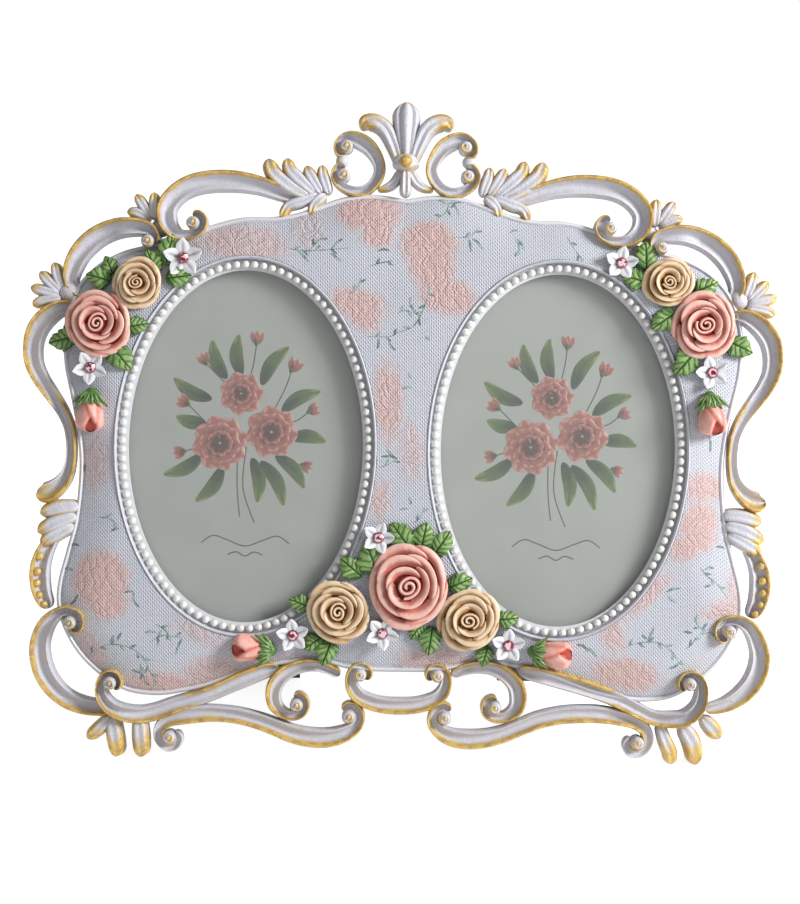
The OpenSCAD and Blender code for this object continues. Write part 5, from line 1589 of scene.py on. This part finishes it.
            # Sepal sections: across, height, painted shade, darkest down the middle and underneath
            section = np.array([
                (-1, 0, 0.3), (-0.5, 0.45, 0.1), (0, 0.3, 0.9), (0.5, 0.45, 0.1), (1, 0, 0.3), (0, -0.7, 1),
            ])
            across = np.outer(wide, section[:, 0])
            rings = np.stack([
                ux[:, None] - across * math.sin(t * 0.8), uy[:, None] + across * math.cos(t * 0.8),
                lift[:, None] + section[:, 1][None] + 0.1,
            ], axis=-1)
            fold = np.broadcast_to(section[:, 2], across.shape)
            sepals.loft(self.onto(rings, place, place[2], self.bud_sink), fold=fold)

    def leaf_piece(self, shell: Shell, place: Row) -> None:
        """Adds one serrated, veined leaf.

        Args:
            shell: Where the skin goes.
            place: The leaf's row.
        """
        l = place[3] * self.leaf_l
        x = np.linspace(0.01, 0.995, 50)[:, None]
        s = np.linspace(-1, 1, 25)[None]
        teeth = (x * 4.6 + 0.3) % 1
        half = l * 0.38 * np.sin(math.pi * x**0.8) ** 0.75 * (1 + 0.26 * (teeth - 0.5) * np.sin(math.pi * x) ** 0.3)
        half = half * (1 + 0.1 * np.sin(9 * x + 30 * place[1]) * np.sign(s) * np.abs(s) ** 0.5)
        rib = np.exp(-((s / 0.075) ** 2)) * np.ones_like(x)
        phase = (x * 4.6 + 0.3 - np.abs(s) * 1.15 + 0.3 * (s > 0) + 0.14 * np.sin(7 * x + 40 * place[0])) % 1
        crease = np.exp(-(((phase - 0.5) / 0.12) ** 2)) * ramp(np.abs(s), 0.02, 0.2) * (1.05 - 0.4 * np.abs(s))
        rise = l * 0.2 * (1 - 0.5 * s**2) * np.sin(math.pi * (0.2 + 0.7 * x))
        wave = 0.06 * l * s * np.sin(8 * x + 25 * place[0]) * np.sin(math.pi * x)
        rise = rise + wave + 0.04 * l * np.abs(s) * np.sin(math.pi * x) - 0.5 * rib - 0.4 * crease + 0.4
        top = np.stack([x * l * np.ones_like(s), half * s, rise], axis=-1)
        under = top[:, ::-1].copy()
        under[..., 2] = np.minimum(under[..., 2] - 1.0, -0.2)
        skin = np.concatenate([top, under], axis=1)
        # Painted shade: darker along the midrib and the creases, towards the root and at the edges, and all over the
        # underside
        base = 0.4 * ramp(1 - x, 0.6, 1.0)
        fold = np.clip(0.1 + base + 0.75 * np.maximum(rib, crease * 0.7) + 0.15 * s**4, 0, 1)
        shell.loft(self.onto(skin, place, place[2], 0.0), fold=np.concatenate([fold, np.ones_like(fold)], axis=1))

    def blossom(self, shell: Shell, place: Row) -> None:
        """Adds one five-petalled blossom.

        Args:
            shell: Where the skins go.
            place: The blossom's row.
        """
        r = place[2] * self.blossom_r
        q = np.linspace(0.02, 1, 14)
        s = np.linspace(-1, 1, 11)
        round_tip = np.sqrt(np.clip(1 - ((q - 0.62) / 0.42).clip(0) ** 2, 0.03, 1))
        wide = r * 0.36 * np.sin(math.pi * (0.12 + 0.8 * q)) ** 0.7 * round_tip
        bow = (1 - 0.6 * s**2)[None] - 0.55 * np.exp(-((s / 0.22) ** 2))[None] * np.sin(math.pi * q)[:, None]
        z = self.blossom_t * (0.42 + 0.5 * q**2)[:, None] + 0.5 * bow
        top = np.stack([np.outer(q * r, np.ones(len(s))), np.outer(wide, s), z], axis=-1)
        under = top[:, ::-1].copy()
        under[..., 2] = np.where(q[:, None] < 0.5, -1.4, under[..., 2] - 1.0)
        skin = np.concatenate([top, under], axis=1)
        # Painted shade down each petal's middle crease, towards the blossom's middle and on the undersides
        crease = np.exp(-((s / 0.2) ** 2))[None] * np.sin(math.pi * q)[:, None] * 0.8
        fold = np.clip(crease + 0.8 * ramp(1 - q, 0.55, 1)[:, None], 0, 1)
        fold = np.concatenate([fold, np.full_like(fold, 0.7)], axis=1)
        for k in range(5):
            shell.loft(self.onto(skin, place, place[3] + 72 * k, -self.blossom_lift), fold=fold)

    def stone(self, shell: Shell, place: Row) -> None:
        """Adds one cut stone in the middle of a blossom.

        Args:
            shell: Where the skin goes.
            place: The blossom's row.
        """
        facets, r = self.facets, self.stone_r
        rings = []
        for k, (size, z, _) in enumerate(self.stone_rows):
            a = circle(facets) + (k % 2) * math.pi / facets
            rings.append(np.column_stack([size * r * np.cos(a), size * r * np.sin(a), np.full(facets, z)]))
        skin = np.array(rings) + (0, 0, self.blossom_t / 2 - 0.5)
        # Painted glint: pale on the table and upper facets, none at the girdle
        tint = np.outer([glint for _, _, glint in self.stone_rows], np.ones(facets))
        shell.loft(self.onto(skin, place, 0, -self.blossom_lift), tint=tint)

    def build(self) -> None:
        """Makes all of the flowers."""
        for node, places, paint_of, slot in (
            ("pink_roses", PINK_PLACES, self.pink, "pink_rose"), ("cream_roses", CREAM_PLACES, self.cream, "cream_rose")
        ):
            shell = Shell()
            for place in places:
                self.rose(shell, place)
            seat(f"flowers.{node}", shell.mesh(), paint_of.make(), [node], sharp=70)
        green = self.leaf.make()
        buds, sepals, leaves, petals, stones = (Shell() for _ in range(5))
        for place in BUD_PLACES:
            self.rosebud(buds, sepals, place)
        for place in LEAF_PLACES:
            self.leaf_piece(leaves, place)
        for place in BLOSSOM_PLACES:
            self.blossom(petals, place)
            self.stone(stones, place)
        seat("flowers.rosebuds", buds.mesh(), self.bud.make(), ["rosebuds"], sharp=70)
        seat("flowers.bud_sepals", sepals.mesh(), green, sharp=70)
        seat("flowers.rose_leaves", leaves.mesh(), green, ["rose_leaves"], sharp=60)
        seat("flowers.blossoms", petals.mesh(), self.white.make(), ["blossoms"], sharp=60)
        seat("flowers.stones", stones.mesh(), CutStone().make(), ["rhinestones"], sharp=0)


@dataclass(frozen=True)
class CutStone:
    """Faceted magenta stone with a pale glint on its table."""

    deep: tuple = paint(122, 8, 42)
    glint: tuple = paint(240, 206, 214)

    def make(self) -> Material:
        """Builds the material.

        Returns:
            The material.
        """
        s = Shader("cut stone")
        spark = s.times(s.ramp(s.painted("tint"), 0.35, 0.9), s.ramp(s.noise(900.0, 0.0), 0.45, 0.55))
        s.set(Base_Color=s.mix(spark, self.deep, self.glint), Roughness=0.08, Coat_Weight=1.0, Coat_Roughness=0.03)
        return s.material


@dataclass
class PhotoCard:
    """The printed card under each glass: a plain ground with a fan-shaped posy and a flourish of its own."""

    half_a: float = 44.3
    half_b: float = 64.3
    back_w: float = 3.62
    face_w: float = 3.84
    # The posy, from the window's middle. Blooms: across, up, radius, petals, turn. Buds: across, up, size.
    # Leaves: across and up at the root, across and up at the tip
    blooms: tuple = ((-9, 1, 9.5, 8, 10), (8.5, 5, 9, 7, 40), (-2, 18, 7.5, 7, 0))
    buds: tuple = (
        (-20, 14, 2.6), (-14, 28, 2.4), (3, 35, 2.6), (15, 26, 2.8), (21, 12, 2.4), (-21, -2, 2.4), (19, -6, 2.2),
    )
    leaves: tuple = (
        (-14, 8, -24, 10), (-15, -3, -28, -10), (-8, -7, -17, -19), (2, -4, 4, -19), (10, -3, 20, -14), (15, 3, 27, 2),
        (12, 12, 25, 19), (5, 21, 14, 34), (-7, 23, -12, 36), (-12, 16, -25, 23), (-2, 24, -3, 38), (5, -5, 13, -20),
    )
    # Fine lines: stems of the buds and the flourish under the posy
    lines: tuple = (
        ((-10, 4), (-16, 10), (-20, 14)), ((-6, 20), (-11, 25), (-14, 28)), ((0, 20), (2, 28), (3, 35)),
        ((9, 12), (13, 20), (15, 26)), ((12, 8), (17, 9), (21, 12)), ((-12, -2), (-17, -1), (-21, -2)),
        ((10, -2), (15, -6), (19, -6)), ((0, 0), (-1, -14), (3, -26)), ((-3, 0), (-3, -14), (-2, -24)),
    )
    flourish: tuple = (
        ((-15, -33), (-11, -30.5), (-6, -32), (0, -34), (6, -32), (11, -30.5), (15, -33)),
        ((-6, -37), (-3, -36), (0, -37.4), (3, -36), (6, -37)),
    )
    # Rings of a bloom's petals: reach, half a petal's width, shade
    rings: tuple = ((1.0, 0.4, 0.9), (0.74, 0.36, 1.2), (0.46, 0.24, 1.5))
    ink_half: float = 0.22
    leaf_half: float = 2.3
    # How far each print stands off the card, so that the later ones lie on top
    ink_lift: float = 0.012
    leaf_lift: float = 0.02
    bud_lift: float = 0.03
    cup_lift: float = 0.045
    bloom_lift: float = 0.055
    ground: PlainFinish = PlainFinish("satin print", paint(154, 156, 151), 0.5, 60.0, 0.00001, spread=0.03)
    bloom: FoldedPaint = FoldedPaint("print of the blooms", paint(190, 140, 130), paint(146, 82, 72), paint(70, 26, 22))
    green: FoldedPaint = FoldedPaint("print of the leaves", paint(116, 128, 66), paint(66, 84, 34), paint(26, 34, 16))
    ink: PlainFinish = PlainFinish("print of the lines", paint(60, 66, 48), 0.5, 300.0, 0.00001)

    def level(self, plan: Array) -> Array:
        """Height of the card's face at plan points."""
        return np.full(len(plan), self.face_w)

    def brush(self, shell: Shell, middle: Array, path: Rows, half: float, lift: float, deep: float = 1.0) -> None:
        """Prints a pointed stroke.

        Args:
            shell: Where the skin goes.
            middle: Plan place of the window's middle.
            path: Rows across and up from there.
            half: Half its width at its widest.
            lift: How far it stands off the card.
            deep: Shade at its start, which fades along it.
        """
        p = smooth(path, 8)
        s = np.linspace(0, 1, len(p))
        wide = half * (0.08 + np.sin(math.pi * (0.03 + 0.94 * s**0.9)))
        shell.stroke(p + middle, wide, self.level, lift, np.clip(deep * (1 - 1.1 * s), 0.1, 1))

    def bouquet(self, side: Side, shells: Sequence[Shell]) -> None:
        """Prints the posy of one card.

        Args:
            side: The card's side.
            shells: Where the blooms, the leaves and the lines go.
        """
        blooms, leaves, ink = shells
        middle = side.middle
        for path in (*self.lines, *self.flourish):
            p = smooth(path, 8)
            ink.stroke(p + middle, np.full(len(p), self.ink_half), self.level, self.ink_lift)
        for a, b, c, d in self.leaves:
            bend = ((a + c) / 2 + (b - d) * 0.1, (b + d) / 2 + (c - a) * 0.1)
            self.brush(leaves, middle, ((a, b), bend, (c, d)), self.leaf_half, self.leaf_lift)
        for x, y, r in self.buds:
            for k in (-1, 0, 1):
                t = math.atan2(y - 2, x) + 0.5 * k
                tip = (x + 1.7 * r * math.cos(t), y + 1.7 * r * math.sin(t))
                half_way = ((x + tip[0]) / 2, (y + tip[1]) / 2)
                self.brush(blooms, middle, ((x, y), half_way, tip), 0.42 * r, self.bud_lift + 0.004 * k)
            self.brush(leaves, middle, ((x - 0.3 * r, y), (x, y), (x + 0.3 * r, y)), 0.3 * r, self.cup_lift)
        for x, y, r, count, turn in self.blooms:
            for ring, (reach, wide, deep) in enumerate(self.rings):
                for k in range(count):
                    t = math.radians(turn + 360 / count * (k + 0.5 * ring))
                    ray = [
                        (x + q * reach * r * math.cos(t + 0.12 * q), y + q * reach * r * math.sin(t + 0.12 * q))
                        for q in (0.1, 0.6, 1)
                    ]
                    self.brush(blooms, middle, ray, wide * r, self.bloom_lift + 0.02 * ring + 0.0015 * k, deep)

    def build(self) -> None:
        """Makes both cards."""
        ground = self.ground.make()
        prints = ((Shell(), self.bloom), (Shell(), self.green), (Shell(), self.ink))
        levels = ((0.5, self.face_w), (1, self.face_w), (1, self.back_w), (0.5, self.back_w))
        for side in Side:
            card = Shell()
            card.loft(np.array([oval(side.middle, q * self.half_a, q * self.half_b, w, 180) for q, w in levels]))
            seat(f"card.ground_{side.word}", card.mesh(), ground, [f"photo_card_{side.word}"])
            self.bouquet(side, [shell for shell, _ in prints])
        for word, (shell, finish) in zip(("blooms", "leaves", "lines"), prints):
            seat(f"card.{word}", shell.mesh(), finish.make(), sharp=80)


@dataclass
class BackFittings:
    """Velvet boards and easel legs, brass turn buttons and slotted screws behind the panel."""

    board_a: float = 44.5
    board_b: float = 64.5
    board_t: float = 2.5
    hinge_v: float = 149.0
    axis_w: float = -2.12
    hinge_screw: float = 8.02
    open_angle: float = math.radians(28)
    # The leg's top and foot along it from the hinge's axis, half its width there, and its face's height over the axis
    leg_ends: tuple = (-1.84, -151.2)
    leg_half: tuple = (12.0, 16.0)
    leg_back: float = -0.8
    leg_t: float = 2.2
    fold_r: float = 0.6
    button_set: float = 4.2
    button_r: float = 3.0
    button_reach: float = 6.0
    head_r: float = 1.8
    head_t: float = 0.9
    slot_half: float = 0.26
    plate_w: float = -0.8
    button_w: float = -1.04
    # Levels of a button's section from front to back: inset, height
    button_levels: tuple = ((0.25, -0.13), (0.05, -0.2), (0, -0.4), (0, -0.7), (0.12, -0.84), (0.4, -0.92))
    # Turn buttons: name, angle on the left window, angle on the right window
    spots: tuple = (("top", 90, 90), ("outer", -132, -48), ("inner", -48, -132))
    velvet: PlainFinish = PlainFinish("charcoal velvet", paint(58, 56, 60), 0.95, 900.0, 0.0002, sheen=0.6, spread=0.2)

    def board(self, side: Side, velvet: Material) -> None:
        """Makes one velvet-covered board with soft edges.

        Args:
            side: The window's side.
            velvet: Its finish.
        """
        r, t = self.fold_r, self.board_t
        levels = ((6, t), (r, t), (0.3 * r, t - 0.2), (0, t - r), (0, r), (0.3 * r, 0.2), (r, 0.02), (6, 0.0))
        shell = Shell()
        rings = [oval(side.middle, self.board_a - inset, self.board_b - inset, w, 160) for inset, w in levels]
        shell.loft(np.array(rings))
        seat(f"back.board_{side.word}", shell.mesh(), velvet, [f"back_board_{side.word}"])

    def leg(self, side: Side, velvet: Material) -> None:
        """Makes one easel leg, a velvet-covered board that hangs from the hinge.

        Args:
            side: The leg's side.
            velvet: Its finish.
        """
        top, foot = self.leg_ends
        r, t = self.fold_r, self.leg_t
        turns = np.radians(np.arange(0, 360, 15))
        rings = []
        for y, inset in ((top, r), (top - 0.2, 0.3 * r), (top - r, 0), *((y, 0) for y in np.linspace(-10, foot, 12))):
            half = np.interp(-y, (-top, -foot), self.leg_half)
            x = np.sign(np.round(np.cos(turns), 6)) * (half - r) + (r - inset) * np.cos(turns)
            z = self.leg_back + t / 2 + np.sign(np.round(np.sin(turns), 6)) * (t / 2 - r) + (r - inset) * np.sin(turns)
            y, z = turned(y, z, self.open_angle)
            rings.append(np.column_stack([x + side.value * LAYOUT.oval_u, self.hinge_v + y, self.axis_w + z]))
        shell = Shell()
        shell.loft(np.array(rings))
        word = side.word
        seat(f"back.leg_{word}", shell.mesh(), velvet, [f"easel_leg_{word}"], f"easel_{word}")

    def spot(self, side: Side, degrees: float) -> tuple[float, float, float]:
        """Place of a turn button's screw on the plan, and the way the button points.

        Args:
            side: The window's side.
            degrees: Its angle on the pocket's oval.

        Returns:
            The place's u and v, and the button's turn.
        """
        t = math.radians(degrees)
        a, b = LAYOUT.pocket_a, LAYOUT.pocket_b
        way = Vector((math.cos(t) / a, math.sin(t) / b)).normalized() * self.button_set
        u, v = side.middle + (a * math.cos(t) + way[0], b * math.sin(t) + way[1])
        return u, v, math.atan2(-way[1], -way[0])

    def button(self, name: str, place: Row, brass: Material) -> None:
        """Makes one pressed brass turn button.

        Args:
            name: The button's side and place.
            place: Its u and v, and its turn.
            brass: Its finish.
        """
        u, v, turn = place
        a = np.radians(np.arange(-90, 270, 10) + 5)
        rings = []
        for inset, w in self.button_levels:
            x = np.where(np.cos(a) > 0, self.button_reach, 0) + (self.button_r - inset) * np.cos(a)
            y = (self.button_r - inset) * np.sin(a)
            x, y = turned(x, y, turn)
            rings.append(np.column_stack([u + x, v + y, np.full(len(a), w)]))
        shell = Shell()
        shell.loft(np.array(rings))
        node, body = f"turn_button_{name}", f"button_{name}"
        seat(f"back.{body}", shell.mesh(), brass, [node], body, sharp=60)

    def screw(self, shell: Shell, u: float, v: float, foot: float, turn: float) -> None:
        """Adds one domed screw head with a slot.

        Args:
            shell: Where the skin goes.
            u: Its place across.
            v: Its place up.
            foot: Height of the sheet that it holds.
            turn: Turn of its slot.
        """
        x = np.linspace(-0.998, 0.998, 27)
        h = np.sqrt(1 - x**2)[:, None]
        slot = self.slot_half / self.head_r
        lips = np.minimum(slot, 0.9 * h)
        near = np.hstack([h, 0.95 * h, 0.75 * h + 0.2 * lips, 0.4 * h + 0.5 * lips, lips, 0.98 * lips])
        y = np.hstack([-near, near[:, ::-1]])
        rise = self.head_t * (0.3 + 0.7 * np.sqrt(np.clip(1 - x[:, None] ** 2 - y**2, 0, 1)))
        rise[:, [0, -1]] = 0
        rise[:, 5:7] = np.minimum(rise[:, 5:7], 0.3 * self.head_t)
        x, y = turned(x[:, None] * self.head_r, y * self.head_r, turn)
        shell.loft(np.stack([u + x, v + y, foot - rise], axis=-1))

    def build(self) -> None:
        """Makes all of the pieces behind the panel."""
        velvet = self.velvet.make()
        brass = BrushedMetal("turned brass", paint(214, 174, 98), 0.28).make()
        screws = Shell()
        for side in Side:
            self.board(side, velvet)
            self.leg(side, velvet)
            for k, (word, left, right) in enumerate(self.spots):
                place = self.spot(side, left if side is Side.LEFT else right)
                self.button(f"{side.word}_{word}", place, brass)
                self.screw(screws, place[0], place[1], self.button_w, 0.7 + 1.3 * k + side.value)
            for turn in (-1, 1):
                u, v = side.value * LAYOUT.oval_u + turn * self.hinge_screw, self.hinge_v + self.hinge_screw
                self.screw(screws, u, v, self.plate_w, 0.4 + turn + 0.8 * side.value)
        seat("back.screws", screws.mesh(), brass, ["screws"], sharp=35)


@dataclass
class Studio:
    """White floor, soft light from the upper right, and the photograph's camera."""

    distance: float = 730.0
    lens: float = 85.5
    aim: tuple = (-0.6, 103.2, 6.0)
    roll: float = math.radians(0.8)
    key: float = 15.5
    key_size: float = 0.36
    key_place: tuple = (930, 510, 580)
    key_aim: tuple = (0, 100, 0)
    fill: float = 0.37
    sensor: float = 36.0
    floor_half: float = 6.0
    floor_glow: float = 0.8

    def floor(self) -> None:
        """Lays a pale floor that shows white to the camera and keeps the frame's shadow."""
        size = self.floor_half
        mesh = bpy.data.meshes.new("floor")
        mesh.from_pydata([(-size, -size, 0), (size, -size, 0), (size, size, 0), (-size, size, 0)], [], [(0, 1, 2, 3)])
        s = Shader("studio white")
        s.set(Base_Color=paint(240, 240, 240), Roughness=0.9)
        path = s.node("ShaderNodeLightPath")
        seen = s.math("MAXIMUM", path.outputs["Is Camera Ray"], path.outputs["Is Glossy Ray"])
        seen = s.math("MAXIMUM", seen, path.outputs["Is Transmission Ray"])
        s.set(Emission_Color=(1.0, 1.0, 1.0), Emission_Strength=s.times(seen, self.floor_glow))
        mesh.materials.append(s.material)
        obj = bpy.data.objects.new("floor", mesh)
        bpy.context.scene.collection.objects.link(obj)

    def world(self) -> None:
        """Sets an even white surround."""
        world = bpy.data.worlds.new("surround")
        world.use_nodes = True
        tree = world.node_tree
        back = tree.nodes["Background"]
        back.inputs["Color"].default_value = (1, 1, 1, 1)
        path = tree.nodes.new("ShaderNodeLightPath")
        mix = tree.nodes.new("ShaderNodeMapRange")
        mix.inputs[3].default_value = self.fill
        mix.inputs[4].default_value = 1.0
        tree.links.new(path.outputs["Is Camera Ray"], mix.inputs[0])
        tree.links.new(mix.outputs[0], back.inputs["Strength"])
        bpy.context.scene.world = world

    def lamp(self) -> None:
        """Adds the soft lamp, aimed at the frame's middle."""
        data = bpy.data.lights.new("key", "AREA")
        data.energy, data.size = self.key, self.key_size
        obj = bpy.data.objects.new("key", data)
        obj.location = LAYOUT.point(*self.key_place)
        way = LAYOUT.point(*self.key_aim) - obj.location
        obj.rotation_euler = way.to_track_quat("-Z", "Y").to_euler()
        bpy.context.scene.collection.objects.link(obj)

    def camera(self) -> None:
        """Sets the camera square to the panel, as the photograph was taken."""
        data = bpy.data.cameras.new("camera")
        data.lens, data.sensor_width = self.lens, self.sensor
        data.clip_start, data.clip_end = 0.05, 20
        obj = bpy.data.objects.new("camera", data)
        u, v, w = self.aim
        turn = LAYOUT.matrix().to_3x3().normalized().to_4x4() @ Matrix.Rotation(self.roll, 4, "Z")
        obj.matrix_world = Matrix.Translation(LAYOUT.point(u, v, w + self.distance)) @ turn
        bpy.context.scene.collection.objects.link(obj)
        bpy.context.scene.camera = obj

    def build(self) -> None:
        """Sets the stage."""
        self.camera()
        self.floor()
        self.world()
        self.lamp()
        bpy.context.scene.view_settings.view_transform = "Standard"


def dress_nodes() -> None:
    """Gives every CAD node that still shows its finish."""
    steel = BrushedMetal("plated steel", paint(196, 196, 200)).make()
    glass = ClearGlass().make()
    board = PlainFinish("grey board", paint(196, 182, 158), 0.9, 700.0, 0.0001, spread=0.1).make()
    finishes = {"hinge": steel, "leg_leaf": steel, "glass": glass, "packing_card": board}
    for name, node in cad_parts.items():
        for start, material in finishes.items():
            if name.startswith(start):
                for slot in node.material_slots:
                    slot.material = material


def main() -> None:
    """Builds the stage and every sub-assembly in order."""
    logging.basicConfig(level=logging.INFO, format="%(message)s")
    for part in (Studio(), Panel(), OvalWindow(), PhotoCard(), Scrollwork(), Flowers(), BackFittings()):
        part.build()
        LOG.info("%s done", type(part).__name__)
    dress_nodes()


if __name__ == "__main__":
    main()
